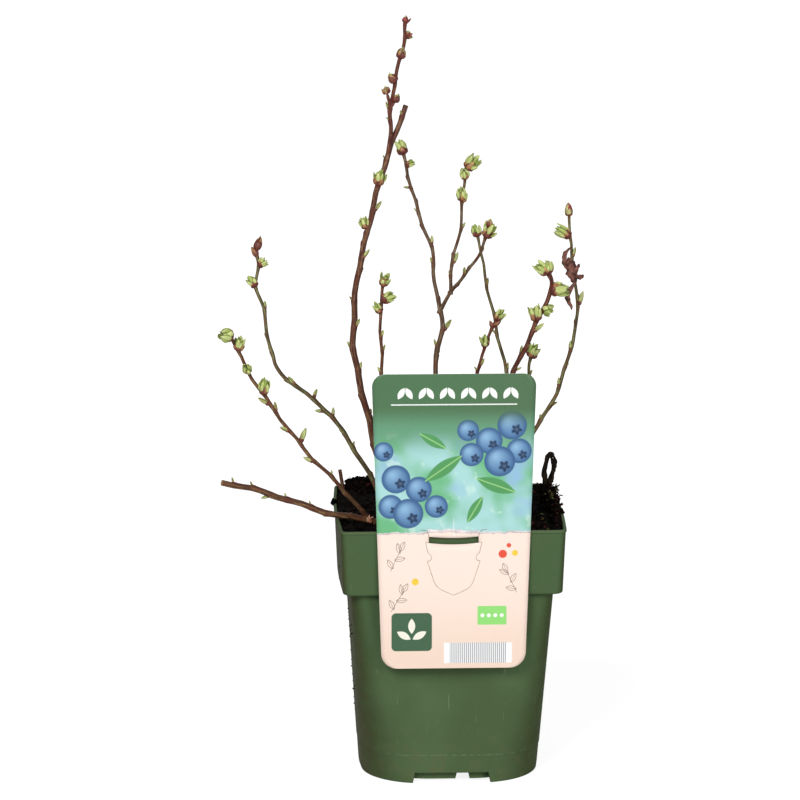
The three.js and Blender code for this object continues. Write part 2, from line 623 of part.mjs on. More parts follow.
/** An opening bud: a plump middle with a ring of scales that lean out round it. */
function openBud(line, [share, degrees, lean, size, stalk = 0], random, grow) {
  const distance = share * line.length;
  const { place, along } = line.frame(distance);
  const axis = leaning(along, line.outward(distance, degrees), lean);
  const foot = place.clone().addScaledVector(axis, stalk - BUD_SINK * size);
  const side = new THREE.Vector3().crossVectors(axis, along).normalize();
  const other = new THREE.Vector3().crossVectors(axis, side);
  const solids = [scale(foot, axis, size * (1 + BUD_SINK), PLUMP, grow)];
  const count = size < LARGE_BUD ? SMALL_SCALES : LARGE_SCALES;
  for (let i = 0; i < count; i += 1) {
    const angle = (i + random() / 2) * 2 * Math.PI / count;
    const away = side.clone().multiplyScalar(Math.cos(angle)).addScaledVector(other, Math.sin(angle));
    const length = size * THREE.MathUtils.lerp(...OUTER_LENGTH, random());
    solids.push(scale(foot, leaning(axis, away, SCALE_LEAN), length, SLIM, grow));
  }
  if (stalk > 0) {
    const radius = STALK_WIDTH / 2 + grow;
    const twig = new THREE.CylinderGeometry(radius, radius, stalk, SCALE_SIDES);
    twig.translate(0, stalk / 2, 0);
    twig.applyQuaternion(new THREE.Quaternion().setFromUnitVectors(LATHE_AXIS, axis));
    solids.push(toSolid(twig.translate(place.x, place.y, place.z)));
  }
  return join(solids);
}

/** A closed bud on the side of a limb. */
function closedBud(line, [share, lean, length], random, grow) {
  const distance = share * line.length;
  const degrees = (lean < 0 ? 180 : 0) + BUD_TURN * (2 * random() - 1);
  const outward = line.outward(distance, degrees);
  const { place, along } = line.frame(distance);
  place.addScaledVector(outward, line.radius(distance) / 2);
  return scale(place, leaning(along, outward, Math.abs(lean)), length, SLIM, grow);
}

/** One stretch of a limb with its buds. A copy of it, grown by a distance, is the room it takes. */
function limbPiece(line, from, to, seed, grow) {
  const random = seeded(seed);
  const within = ([share]) => share * line.length >= from && share * line.length <= to;
  const closed = (line.limb.closed ?? []).filter(within).map((bud) => closedBud(line, bud, random, grow));
  const open = (line.limb.open ?? []).filter(within).map((bud) => openBud(line, bud, random, grow));
  return join([limbWood(line, from, to, grow), ...closed, ...open]);
}

// ---------------------------------------------------------------- withered leaf

/** A long dead leaf that hangs from its stalk, hollow across its width and twisted along its length. */
function makeDeadLeaf() {
  const curve = new THREE.CatmullRomCurve3(DEAD_LEAF_BENDS.map((bend) => new THREE.Vector3(...bend)));
  const geometry = new THREE.BoxGeometry(2, 1, DEAD_LEAF_THICKNESS, ...DEAD_LEAF_CELLS, 1);
  const position = geometry.attributes.position;
  for (let i = 0; i < position.count; i += 1) {
    const across = position.getX(i);
    const down = 0.5 - position.getY(i);
    const fullness = THREE.MathUtils.lerp(DEAD_LEAF_STALK, 1, Math.sin(Math.PI * down));
    const hollow = DEAD_LEAF_CURL * across ** 2 * fullness + position.getZ(i);
    const along = curve.getTangentAt(down);
    const turn = THREE.MathUtils.lerp(...DEAD_LEAF_TURN, down);
    const side = new THREE.Vector3(1, 0, 0).applyAxisAngle(along, turn);
    const face = new THREE.Vector3().crossVectors(side, along);
    const place = curve.getPointAt(down).addScaledVector(side, across * fullness * DEAD_LEAF_WIDTH / 2);
    place.addScaledVector(face, hollow);
    position.setXYZ(i, place.x, place.y, place.z);
  }
  return toSolid(geometry);
}

// ---------------------------------------------------------------- the whole plant

const ROUGHNESS = { bark: 0.7, pot: 0.45, peat: 0.95, card: 0.4 };

const bush = new THREE.Group();
const taken = []; // the room that each finished piece of the plant keeps for itself

/** Cuts a new piece of the plant clear of all that stands already, and adds it. */
function addPiece(name, solid, room, colour) {
  const clear = taken.reduce((rest, other) => rest.subtract(other), solid);
  bush.add(toMesh(name, mainPiece(clear), colour, ROUGHNESS.bark));
  taken.push(room);
}

/** Adds one stretch of a limb, with the room round it. */
function addStretch(name, line, from, to, seed, colour) {
  addPiece(name, limbPiece(line, from, to, seed, 0), limbPiece(line, from, to, seed, GAP), colour);
}

/** The colour of a limb's bark. */
function barkColour(name) {
  if (name.startsWith("withered")) return COLOURS.dead;
  return /green|fork/.test(name) ? COLOURS.green_bark : COLOURS.red_bark;
}

LIMBS.forEach((limb, index) => {
  const line = new LimbLine(limb);
  const [sprayName, sprayShare] = limb.spray ?? [null, 1];
  const split = sprayShare * line.length;
  const end = sprayName ? split - SPRAY_GAP : split;
  if (sprayShare > 0) addStretch(limb.name, line, 0, end, 2 * index + 1, barkColour(limb.name));
  if (sprayName) addStretch(sprayName, line, split, line.length, 2 * index + 2, COLOURS.bud);
});

const deadLeaf = makeDeadLeaf();
addPiece("withered_leaf", deadLeaf, deadLeaf, COLOURS.dead);

/** The pocket in the peat that leaves air all round the card's tongue. */
function tonguePocket() {
  const width = 2 * (SLOT_HALF + GAP);
  const thickness = 2 * CARD_THICKNESS + 4 * GAP;
  const pocket = new THREE.BoxGeometry(width, thickness, 2 * HOOK_DEPTH);
  return toSolid(pocket.translate(0, -RIM_HALF + RIM_LIP + WALL + 2 * CARD_THICKNESS, POT_HEIGHT));
}

const pockets = [...taken, tonguePocket()];
const soil = pockets.reduce((rest, pocket) => rest.subtract(pocket), makeSoil());
bush.add(toMesh("pot", makePot(), COLOURS.pot, ROUGHNESS.pot));
bush.add(toMesh("soil", mainPiece(soil), COLOURS.peat, ROUGHNESS.peat));
bush.add(toMesh("label_card", makeCard(), COLOURS.card, ROUGHNESS.card));

export default bush;
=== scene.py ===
# %% [markdown]
# # A young blueberry bush in its nursery pot
# It is early spring: the shoots are bare, and their buds open. The square pot is moulded in green
# plastic, the peat in it is dark and crumbly, and a card label hangs over the front rim.
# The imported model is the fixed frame. Lengths below are in millimetres, as a gardener measures them,
# and make_piece turns them into metres.

import math

import bpy
import numpy as np
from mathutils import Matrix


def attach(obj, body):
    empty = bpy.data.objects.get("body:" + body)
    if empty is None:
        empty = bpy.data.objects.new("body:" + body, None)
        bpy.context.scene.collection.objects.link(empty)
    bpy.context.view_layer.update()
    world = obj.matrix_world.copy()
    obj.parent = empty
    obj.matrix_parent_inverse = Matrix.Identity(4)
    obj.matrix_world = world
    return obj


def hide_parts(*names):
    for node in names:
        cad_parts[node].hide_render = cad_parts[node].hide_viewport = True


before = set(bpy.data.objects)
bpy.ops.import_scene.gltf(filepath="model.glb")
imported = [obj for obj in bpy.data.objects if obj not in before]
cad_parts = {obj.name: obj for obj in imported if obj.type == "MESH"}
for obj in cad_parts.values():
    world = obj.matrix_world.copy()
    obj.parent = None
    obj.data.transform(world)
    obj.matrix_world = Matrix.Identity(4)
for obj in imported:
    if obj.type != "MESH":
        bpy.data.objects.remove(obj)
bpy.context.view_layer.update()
print("nodes in the packed model:", len(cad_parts))

# %% [markdown]
# ## From arrays to meshes
# A mesh is a list of points and a list of faces. Both are worked out as whole arrays, because that
# is fast and keeps each shape a formula. foreach_set then hands an array to Blender in one go.
# Numbers that belong to a point, such as how far along a leaf it lies, go with it as attributes, and
# the materials read them.

# %% Arrays into a piece
MM = 0.001


def make_piece(name, body, materials, slot, replaced=(), smooth=40, **numbers):
    """A mesh from points in millimetres and arrays of faces, which rides on the plant's one body.

    Edges sharper than the angle smooth, in degrees, stay sharp.
    """
    mesh = bpy.data.meshes.new(name)
    points, faces = body
    corners = np.concatenate([np.ravel(rows) for rows in faces]).astype(np.int32)
    sizes = np.concatenate([np.full(len(rows), rows.shape[1]) for rows in faces])
    starts = np.concatenate([[0], np.cumsum(sizes)[:-1]]).astype(np.int32)
    mesh.vertices.add(len(points))
    mesh.vertices.foreach_set("co", (points * MM).astype(np.float32).ravel())
    mesh.loops.add(len(corners))
    mesh.loops.foreach_set("vertex_index", corners)
    mesh.polygons.add(len(sizes))
    mesh.polygons.foreach_set("loop_start", starts)
    mesh.polygons.foreach_set("use_smooth", np.ones(len(sizes), bool))
    for material in materials:
        mesh.materials.append(material)
    mesh.update(calc_edges=True)
    for key, values in numbers.items():
        values = np.asarray(values, np.float32)
        kind, field = ("FLOAT", "value") if values.ndim == 1 else ("FLOAT_VECTOR", "vector")
        mesh.attributes.new(key, kind, "POINT").data.foreach_set(field, values.ravel())
    mesh.set_sharp_from_angle(angle=math.radians(smooth))
    piece = bpy.data.objects.new(name, mesh)
    bpy.context.scene.collection.objects.link(piece)
    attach(piece, "root")
    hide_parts(*replaced)
    print(f"{name}: {int(np.sum(sizes - 2))} triangles")
    return piece


def strip_faces(rows, columns, wrap=True):
    """Four-cornered faces of a grid whose points are counted row by row; wrap closes each row."""
    across = columns if wrap else columns - 1
    here = np.arange(rows - 1)[:, None] * columns + np.arange(across)
    beside = np.arange(rows - 1)[:, None] * columns + (np.arange(across) + 1) % columns
    return np.stack([here, beside, beside + columns, here + columns], -1).reshape(-1, 4)


def skin(rings):
    """Closed bodies from stacks of rings, an array of bodies, rows, columns and 3 coordinates.

    Each row of a body is joined to the next, and a fan to its middle closes the first and the last.
    """
    bodies, rows, columns = rings.shape[:3]
    count = rows * columns + 2
    here = np.arange(columns)
    beside = (here + 1) % columns
    last = (rows - 1) * columns
    foot = np.stack([beside, here, np.full(columns, count - 2)], -1)
    top = np.stack([here + last, beside + last, np.full(columns, count - 1)], -1)
    shift = np.arange(bodies)[:, None, None] * count
    sides = (strip_faces(rows, columns) + shift).reshape(-1, 4)
    caps = (np.concatenate([foot, top]) + shift).reshape(-1, 3)
    return skin_numbers(rings), [sides, caps]


def skin_numbers(values):
    """A number or vector on each ring point, in the order of skin's points: rings, then two middles."""
    ends = values[:, [0, -1]].mean(axis=2)
    flat = values.reshape((len(values), -1) + values.shape[3:])
    return np.concatenate([flat, ends], axis=1).reshape((-1,) + values.shape[3:])

# %% [markdown]
# A shoot, a fibre or a fold of card is a line with rings or strips round it. Four small helpers serve
# them all: directions of length 1, a circle of directions, how far a line has run at each point, and
# the place after any run. Blender's curves could carry a ring too, but not a ledge below each bud.

# %% Lines and directions
def unit(vectors):
    """The same directions with a length of 1."""
    return vectors / np.linalg.norm(vectors, axis=-1, keepdims=True)


def circle(first, second, angle):
    """Directions round a path: at each point, first times the cosine and second times the sine."""
    return first[..., None, :] * np.cos(angle)[:, None] + second[..., None, :] * np.sin(angle)[:, None]


def walked(line):
    """How far along a line each of its points lies."""
    return np.concatenate([[0], np.cumsum(np.linalg.norm(np.diff(line, axis=0), axis=1))])


def along_line(distances, run, line):
    """The places at some distances along a line whose points lie run apart from its start."""
    return np.stack([np.interp(distances, run, line[:, a]) for a in range(3)], -1)


print("a walk of 3 and 4 mm:", walked(np.array([(0, 0, 0), (3, 0, 0), (3, 4, 0)])))

# %% [markdown]
# Nothing that grows is smooth. Random numbers on a lattice, blended between its corners, give bumps of
# a chosen size, and the same seed gives the same bumps each time. They shape peat, bark and crumbs.

# %% Smooth random bumps
def lattice(i, j, k, seed):
    """A fixed random number from -1 to 1 for each whole-number place, by mixing its digits."""
    mixed = (i * 374761393 + j * 668265263 + k * 1274126177 + seed * 974711) & 0xFFFFFFFF
    mixed = ((mixed ^ (mixed >> 13)) * 1103515245) & 0xFFFFFFFF
    return ((mixed ^ (mixed >> 16)) & 0xFFFF) / 32767.5 - 1


def bumps(x, y, z, size, seed=0):
    """Random numbers on a lattice with cells of a size, blended smoothly between the eight nearest."""
    place = np.stack(np.broadcast_arrays(x, y, z)).astype(float) / size
    cell = np.floor(place).astype(np.int64)
    share = place - cell
    share = share * share * (3 - 2 * share)
    total = 0.0
    for corner in np.ndindex(2, 2, 2):
        weight = np.prod([share[a] if corner[a] else 1 - share[a] for a in range(3)], axis=0)
        total = total + weight * lattice(*(cell[a] + corner[a] for a in range(3)), seed)
    return total


random = np.random.default_rng(11)
print("bumps at the origin:", float(bumps(0.3, 0.4, 0.1, 1.0)))

# %% [markdown]
# ## Material helpers
# Every finish here is a pattern worked out by nodes, so nothing is painted by hand. A Field is a
# number that varies over the surface: arithmetic on it adds the Math nodes, which keeps long formulas
# short. A Finish lays its colours on coat by coat, as a painter would. Its noise patterns sit still in
# object space, or in a place that the piece carries, and their size is given in millimetres.

# %% Fields and colours
def paint(*rgb):
    """A colour as printers give it, 0 to 255, in the linear numbers that a shader works with."""
    share = np.array(rgb, float) / 255
    linear = np.where(share <= 0.04045, share / 12.92, ((share + 0.055) / 1.055) ** 2.4)
    return (*linear.tolist(), 1.0)


class Field:
    """A number or colour that varies over a surface: the output of a node."""

    def __init__(self, tree, socket):
        self.tree = tree
        self.socket = socket

    def calculate(self, operation, *others):
        node = self.tree.nodes.new("ShaderNodeMath")
        node.operation = operation
        for slot, value in zip(node.inputs, (self, *others)):
            connect(self.tree, value, slot)
        return Field(self.tree, node.outputs[0])

    def __add__(self, other):
        return self.calculate("ADD", other)

    def __sub__(self, other):
        return self.calculate("SUBTRACT", other)

    def __mul__(self, other):
        return self.calculate("MULTIPLY", other)

    def abs(self):
        return self.calculate("ABSOLUTE")

    def most(self, other):
        return self.calculate("MAXIMUM", other)

    def step(self, start, end):
        """0 before start and 1 after end, with a smooth rise; start may be the larger one."""
        node = self.tree.nodes.new("ShaderNodeMapRange")
        node.interpolation_type = "SMOOTHSTEP"
        connect(self.tree, self, node.inputs["Value"])
        node.inputs["From Min"].default_value = min(start, end)
        node.inputs["From Max"].default_value = max(start, end)
        node.inputs["To Min"].default_value = float(start > end)
        node.inputs["To Max"].default_value = float(start <= end)
        return Field(self.tree, node.outputs["Result"])


def connect(tree, value, slot):
    """Feeds a slot with a Field, or sets its number, or its colour from three numbers up to 255."""
    if isinstance(value, Field):
        tree.links.new(value.socket, slot)
    else:
        slot.default_value = paint(*value) if isinstance(value, tuple) else value


def pythagoras(across, up):
    """The length of a step that goes across and up."""
    return (across * across + up * up).calculate("SQRT")


print("leaf green in linear numbers:", [round(c, 3) for c in paint(165, 195, 95)])

# %% A finish, coat by coat
class Finish:
    """A material under construction: a base colour, the coats on it, and one Principled shader.

    Its patterns lie in object space, or in the vector that the piece carries as an attribute.
    """

    def __init__(self, name, base, shine=0.3, attribute=None):
        self.material = bpy.data.materials.new(name)
        self.material.use_nodes = True
        self.tree = self.material.node_tree
        self.shader = self.tree.nodes["Principled BSDF"]
        self.shader.inputs["Specular IOR Level"].default_value = shine
        self.colour = base
        self.unit = 1 if attribute else MM
        self.where = self.carried(attribute, "Vector") if attribute else self.read("TexCoord", "Object")

    def read(self, kind, output):
        """What an input node gives, such as Object of TexCoord, or Normal of NewGeometry."""
        return Field(self.tree, self.tree.nodes.new("ShaderNode" + kind).outputs[output])

    def carried(self, attribute, output="Fac"):
        """A number, or a vector, that the piece carries at each point."""
        node = self.tree.nodes.new("ShaderNodeAttribute")
        node.attribute_name = attribute
        return Field(self.tree, node.outputs[output])

    def split(self, vector):
        """The three coordinates of a vector."""
        node = self.tree.nodes.new("ShaderNodeSeparateXYZ")
        connect(self.tree, vector, node.inputs[0])
        return [Field(self.tree, output) for output in node.outputs]

    def millimetres(self):
        """The three coordinates of a point in object space, in millimetres."""
        return [metres * (1 / MM) for metres in self.split(self.where)]

    def stretched(self, scale, move=(0, 0, 0), turn=(0, 0, 0)):
        """The place after a Mapping node: scaled by three numbers, moved and turned."""
        node = self.tree.nodes.new("ShaderNodeMapping")
        connect(self.tree, self.where, node.inputs["Vector"])
        node.inputs["Scale"].default_value = scale
        node.inputs["Location"].default_value = move
        node.inputs["Rotation"].default_value = turn
        return Field(self.tree, node.outputs[0])

    def cloud(self, size, detail=3, place=None):
        """A cloudy pattern from 0 to 1, with patches of about a size in millimetres."""
        node = self.tree.nodes.new("ShaderNodeTexNoise")
        connect(self.tree, self.where if place is None else place, node.inputs["Vector"])
        node.inputs["Scale"].default_value = 1 / (size * self.unit)
        node.inputs["Detail"].default_value = detail
        return Field(self.tree, node.outputs["Fac"])

    def blend(self, share, first, second):
        """One colour where share is 0, the other where it is 1, and a mix between."""
        node = self.tree.nodes.new("ShaderNodeMix")
        node.data_type = "RGBA"
        for slot, value in ((0, share), (6, first), (7, second)):
            connect(self.tree, value, node.inputs[slot])
        return Field(self.tree, node.outputs[2])

    def coat(self, share, colour):
        """Lays one more colour on the last one, where share is 1."""
        self.colour = self.blend(share, self.colour, colour)

    def finish(self, roughness, relief=None, depth=0.1):
        """Joins the patterns to the shader. relief is a height from 0 to 1, depth is in millimetres."""
        connect(self.tree, self.colour, self.shader.inputs["Base Color"])
        connect(self.tree, roughness, self.shader.inputs["Roughness"])
        if relief is not None:
            node = self.tree.nodes.new("ShaderNodeBump")
            node.inputs["Strength"].default_value = 1.0
            node.inputs["Distance"].default_value = depth * MM
            connect(self.tree, relief, node.inputs["Height"])
            self.tree.links.new(node.outputs["Normal"], self.shader.inputs["Normal"])
        return self.material


print("coats are blended by", bpy.types.ShaderNodeMix.bl_rna.name, "nodes")

# %% [markdown]
# ## The camera
# The bush is seen from a little above, almost straight at the label, through a long lens, so that
# upright lines stay nearly upright. The camera comes first, because every later choice of detail is
# made at its distance.

# %% Camera
CAMERA_TARGET = np.array([-28.0, 0.0, 217.2])
CAMERA_DISTANCE = 2300.0
CAMERA_YAW = math.radians(2.33)
CAMERA_PITCH = math.radians(10.81)
CAMERA_LENS = 177.5

sight = np.array([
    math.sin(CAMERA_YAW) * math.cos(CAMERA_PITCH),
    math.cos(CAMERA_YAW) * math.cos(CAMERA_PITCH),
    -math.sin(CAMERA_PITCH),
])
lens = bpy.data.cameras.new("camera")
lens.lens = CAMERA_LENS
camera = bpy.data.objects.new("camera", lens)
camera.location = (CAMERA_TARGET - CAMERA_DISTANCE * sight) * MM
camera.rotation_euler = (math.pi / 2 - CAMERA_PITCH, 0, -CAMERA_YAW)
bpy.context.scene.collection.objects.link(camera)
bpy.context.scene.camera = camera
print("camera at", [round(c, 3) for c in camera.location])

# %% [markdown]
# ## The pot
# The pot is a thin plastic wall that was moulded in one shot: an upright collar, a body that narrows
# to an almost round foot, a drain notch at the front and at the back, and a skirt behind them. One
# outline is carried up a profile: a square with round corners, whose sides bulge where the peat
# pushes them out. The profile runs from under the floor, round the foot, up outside, over the rim and
# down inside, so the wall is closed and has its real thickness.

# %% The pot's outline
POT_HEIGHT = 153
RIM_HALF = 65
COLLAR_FOOT = 115
COLLAR_FOOT_HALF = 63.2
BODY_TOP_HALF = 58.5
BODY_FOOT_HALF = 52
WALL = 1.4
RIM_CORNER = 4
BODY_TOP_CORNER = 9
FOOT_CORNER = 37
SMALL_ROUND = 1.3
SEAM_HEIGHT = 17.5
SEAM_STEP = 0.25
FLOOR_HEIGHT = 7
NOTCH_TOP_HALF = 21.4
NOTCH_FOOT_HALF = 22.8
NOTCH_HEIGHT = 6.2
BULGING_SIDES = np.array([1, 1, 0, 1])
BULGE = (0.8, 1.8)  # how far the bulging sides are pushed out at the floor and at the rim
ARC_POINTS = 21
SIDE_POINTS = 17

straight_half = BODY_FOOT_HALF - SEAM_STEP - FOOT_CORNER
notch_edges = np.array([
    math.asin((across - straight_half) / FOOT_CORNER) / (math.pi / 2)
    for across in (NOTCH_TOP_HALF, NOTCH_FOOT_HALF)
])
arc_shares = np.unique(np.concatenate([np.linspace(0, 1, ARC_POINTS), notch_edges, 1 - notch_edges]))
side_shares = np.linspace(0, 1, SIDE_POINTS)[1:-1]
quarter = np.repeat(np.arange(4), len(arc_shares) + len(side_shares))
arc = np.tile(np.concatenate([arc_shares, np.ones(len(side_shares))]), 4)
along_side = np.tile(np.concatenate([np.zeros(len(arc_shares)), side_shares]), 4)


def outline(half, corner, height):
    """A square with round corners, half as wide as half.

    Each quarter is an arc of the corner's radius about a point half - corner from both middles, then a
    straight run to the next arc. Half a sine wave pushes three sides out.
    """
    angle = (quarter + arc) * math.pi / 2
    middle = (quarter + 0.5) * math.pi / 2
    reach = half - corner
    x = np.sign(np.cos(middle)) * reach + corner * np.cos(angle)
    y = np.sign(np.sin(middle)) * reach + corner * np.sin(angle)
    out_x, out_y = -np.sin(quarter * math.pi / 2), np.cos(quarter * math.pi / 2)
    run = 2 * reach * along_side
    x, y = x - out_y * run, y + out_x * run
    push = np.interp(height, [0, POT_HEIGHT], BULGE) * BULGING_SIDES[quarter] * np.sin(math.pi * along_side)
    return np.stack([x + out_x * push, y + out_y * push, np.full(len(x), float(height))], -1)


def body_half(height):
    """Half the body's width, which grows evenly up to the collar."""
    return BODY_FOOT_HALF + (BODY_TOP_HALF - BODY_FOOT_HALF) * height / COLLAR_FOOT


def body_corner(height):
    """The radius of the body's corners, which are widest at the foot."""
    return FOOT_CORNER + (BODY_TOP_CORNER - FOOT_CORNER) * height / COLLAR_FOOT


print("points round the pot:", len(quarter))

# %% The pot's wall
LIP_FOOT = 151.4
LIP_SHOULDER = 152.7
COLLAR_RUN = 35
NOTCH_ROWS = slice(1, 12)  # the rows of the profile up to the seam
FOOT_ROW = 5

foot_half = BODY_FOOT_HALF - SEAM_STEP
turn = np.linspace(0, math.pi / 2, 5)
rounding = list(zip(SMALL_ROUND * (1 - np.cos(turn)), SMALL_ROUND * (1 - np.sin(turn))))


def collar(height):
    """One row up the collar, which leans out to its lip while its corners tighten."""
    half = np.interp(height, [COLLAR_FOOT + SMALL_ROUND, LIP_FOOT], [COLLAR_FOOT_HALF, RIM_HALF - 0.5])
    return height, half, RIM_CORNER + SMALL_ROUND * (LIP_FOOT - height) / COLLAR_RUN


profile = [  # height, half width, corner radius
    (FLOOR_HEIGHT, foot_half - WALL, FOOT_CORNER - WALL),
    (0.1, foot_half - SMALL_ROUND - WALL + 0.4, FOOT_CORNER - SMALL_ROUND - WALL),
    *[(h, foot_half - inset, FOOT_CORNER - inset) for h, inset in rounding],
    *[(h, body_half(h) - SEAM_STEP, body_corner(h)) for h in (4, 7, 11, 15, SEAM_HEIGHT)],
    *[(h, body_half(h), body_corner(h)) for h in (SEAM_HEIGHT + SEAM_STEP, *np.linspace(20, 114.6, 16))],
    (COLLAR_FOOT, BODY_TOP_HALF + 0.4, BODY_TOP_CORNER),
    *[(COLLAR_FOOT + h, COLLAR_FOOT_HALF - inset, RIM_CORNER + SMALL_ROUND) for h, inset in rounding],
    *[collar(h) for h in np.linspace(119, 151.2, 7)],
    (LIP_FOOT + 0.3, RIM_HALF - 0.05, RIM_CORNER),
    (LIP_SHOULDER, RIM_HALF, RIM_CORNER),
    (POT_HEIGHT, RIM_HALF - 0.3, RIM_CORNER),
    (POT_HEIGHT, RIM_HALF - 1.6, RIM_CORNER - 0.8),
    (LIP_SHOULDER, RIM_HALF - 1.9, RIM_CORNER - WALL),
    (COLLAR_FOOT + WALL + SMALL_ROUND, COLLAR_FOOT_HALF - WALL, RIM_CORNER + SMALL_ROUND - WALL),
    (COLLAR_FOOT + WALL, BODY_TOP_HALF - WALL, BODY_TOP_CORNER - WALL),
    *[(h, body_half(h) - WALL, body_corner(h) - WALL) for h in (80, 45, FLOOR_HEIGHT + WALL)],
]
wall = np.stack([outline(half, corner, h) for h, half, corner in profile])

# The drain notches, in front and at the back: near the foot, heights are lifted where x is small.
across, away = np.abs(wall[FOOT_ROW, :, 0]), np.abs(wall[FOOT_ROW, :, 1])
lift = np.interp(across, [NOTCH_TOP_HALF, NOTCH_FOOT_HALF], [NOTCH_HEIGHT, 0]) * (away > across)
low = wall[NOTCH_ROWS, :, 2]
wall[NOTCH_ROWS, :, 2] = np.where(low < SEAM_HEIGHT, lift + low * (1 - lift / SEAM_HEIGHT), low)
print("rows up the pot's profile:", len(profile))

# %% [markdown]
# The plastic is matt and dark green. Its colour drifts a little, and fine specks and scuffs lie on it.
# Dust has dried on the lower part, soil smudges the left face, and a short pale line shows where the
# mould was filled. Painted shade darkens the inside of the wall and the flanks, and a painted
# highlight lightens the lip and the rim top. All of it follows object space or the way a wall faces.

# %% Moulded plastic
plastic = Finish("moulded_green_plastic", (83, 105, 71), shine=0.03)
px, py, pz = plastic.millimetres()
sideways, _, _ = plastic.split(plastic.read("NewGeometry", "Normal"))
plastic.coat(pz.step(60, 120), (75, 98, 66))
plastic.coat(plastic.cloud(45).step(0.35, 0.65), (77, 97, 64))
plastic.coat(plastic.cloud(1.1, 2).step(0.66, 0.75) * 0.35, (104, 122, 92))
scuffs = plastic.cloud(2.2, 4, plastic.stretched((1, 1, 0.12), turn=(0, 0.5, 0)))
plastic.coat(scuffs.step(0.66, 0.73) * 0.2, (135, 150, 120))
filling_mark = (px + 2).abs().step(0.4, 0.2) * py.step(-40, -45) * (pz - 50).abs().step(6, 3)
plastic.coat(filling_mark * 0.3, (140, 155, 125))
# painted highlight: the lip and the rim top are lightened
plastic.coat(pz.step(LIP_FOOT, LIP_FOOT + 0.5) * 0.3, (104, 120, 88))
seam = (pz - SEAM_HEIGHT).abs().step(0.5, 0.2) * plastic.cloud(2.5, 2).step(0.35, 0.6)
plastic.coat(seam * 0.5, (128, 146, 116))
# painted shade: the inside of the wall below the rim is darkened to peat colour
shaded_inner_wall = (px * sideways).step(-20, -40) * pz.step(152.5, 151.5)
plastic.coat(shaded_inner_wall * 0.85, (26, 22, 16))
# painted shade: faces that turn to the left or right are darkened, in patches
flank_shade = sideways.abs().step(0.25, 0.95) * (plastic.cloud(9, 5).step(0.3, 0.6) * 0.3 + 0.7)
plastic.coat(flank_shade * 0.8, (62, 70, 38))
soiled_left = plastic.cloud(5, 5).step(0.3, 0.6) * sideways.step(-0.6, -0.98)
plastic.coat(soiled_left * 0.5, (84, 76, 58))
dust = plastic.cloud(6, 5).step(0.45, 0.75) * pz.step(50, 0)
plastic.coat(dust * 0.35, (104, 98, 70))
pot_green = plastic.finish(plastic.cloud(3) * 0.18 + 0.42, plastic.cloud(0.45, 2), 0.02)
pot = make_piece("moulded_pot", skin(wall[None]), [pot_green], "pot", ["pot"], smooth=32)

# %% [markdown]
# Under the floor the pot stands on its foot and on an inner skirt, which keeps the drain holes off the
# ground. The holes are drilled with a Boolean, because they cut across the rows of the wall. The
# skirt is one quarter of a ring, turned four times, with a gap in each side for the water.

# %% The drain holes and the skirt
DRAIN_HOLE_RADIUS = 3.6
DRAIN_CIRCLES = ((8, 31), (4, 14))  # how many holes lie on a circle, and its radius
SKIRT_HALF = 46.5
SKIRT_CORNER = 34.2
SKIRT_CORNER_POINTS = 22
GAP_MIDDLE = 6.5
SKIRT_GAP = [(4.1, 1.6), (2.7, 7.7)]  # half the gap's width, and the height where it is that wide
BOSS_RADIUS = 6


def upright_pins(places, radius, bottom, top, columns=24):
    """Round upright pins: circles about each place at two heights."""
    angle = np.arange(columns) * 2 * math.pi / columns
    ring = np.stack([np.cos(angle), np.sin(angle)], -1) * radius
    rings = np.zeros((len(places), 2, columns, 3))
    rings[..., :2] = np.asarray(places)[:, None, None] + ring
    rings[..., 2] = np.array([bottom, top])[:, None]
    return skin(rings)


holes = []
for count, radius in DRAIN_CIRCLES:
    angle = (np.arange(count) + 0.5) * 2 * math.pi / count
    holes += [*np.stack([np.cos(angle), np.sin(angle)], -1) * radius]
drills = upright_pins(holes, DRAIN_HOLE_RADIUS, FLOOR_HEIGHT - 1, FLOOR_HEIGHT + 3)
drill = make_piece("drill", drills, [pot_green], "pot")
cut = pot.modifiers.new("holes", "BOOLEAN")
cut.object = drill
cut.solver = "EXACT"
drilled = bpy.data.meshes.new_from_object(pot.evaluated_get(bpy.context.evaluated_depsgraph_get()))
pot.modifiers.clear()
pot.data = drilled
bpy.data.objects.remove(drill)

straight = SKIRT_HALF - SKIRT_CORNER
bend = np.linspace(0, math.pi / 2, SKIRT_CORNER_POINTS)
edges = []
for half_gap, height in SKIRT_GAP:
    for inset in (0, WALL):
        start = np.linspace(GAP_MIDDLE + half_gap, straight, 3)[:-1]
        end = np.linspace(-straight, GAP_MIDDLE - half_gap, 3)[1:]
        side, radius = np.full(2, SKIRT_HALF - inset), SKIRT_CORNER - inset
        x = np.concatenate([start, straight + radius * np.sin(bend), side])
        y = np.concatenate([-side, -straight - radius * np.cos(bend), end])
        edges.append(np.stack([x, y, np.full(len(x), height)], -1))
quarter_wall = np.stack([edges[0], edges[2], edges[3], edges[1]], 1)[:, ::-1]
spin = [np.array([[math.cos(a), -math.sin(a), 0], [math.sin(a), math.cos(a), 0], [0, 0, 1]])
        for a in np.arange(4) * math.pi / 2]
skirt = skin(np.stack([quarter_wall @ s.T for s in spin]))
make_piece("drain_skirt", skirt, [pot_green], "pot", smooth=32)
boss = upright_pins([(0, 0)], BOSS_RADIUS, 0, FLOOR_HEIGHT + 0.5)
make_piece("foot_boss", boss, [pot_green], "pot", smooth=32)

# %% [markdown]
# ## The peat
# Moist peat is a heap of crumbs of every size. The surface is a stack of rings that shrink towards
# the middle, lifted to the peat's height: a rise to the back, a few mounds, waves, and finer and
# finer random bumps. Loose crumbs and torn fibres lie on it, because they are what the eye sees
# against the light.

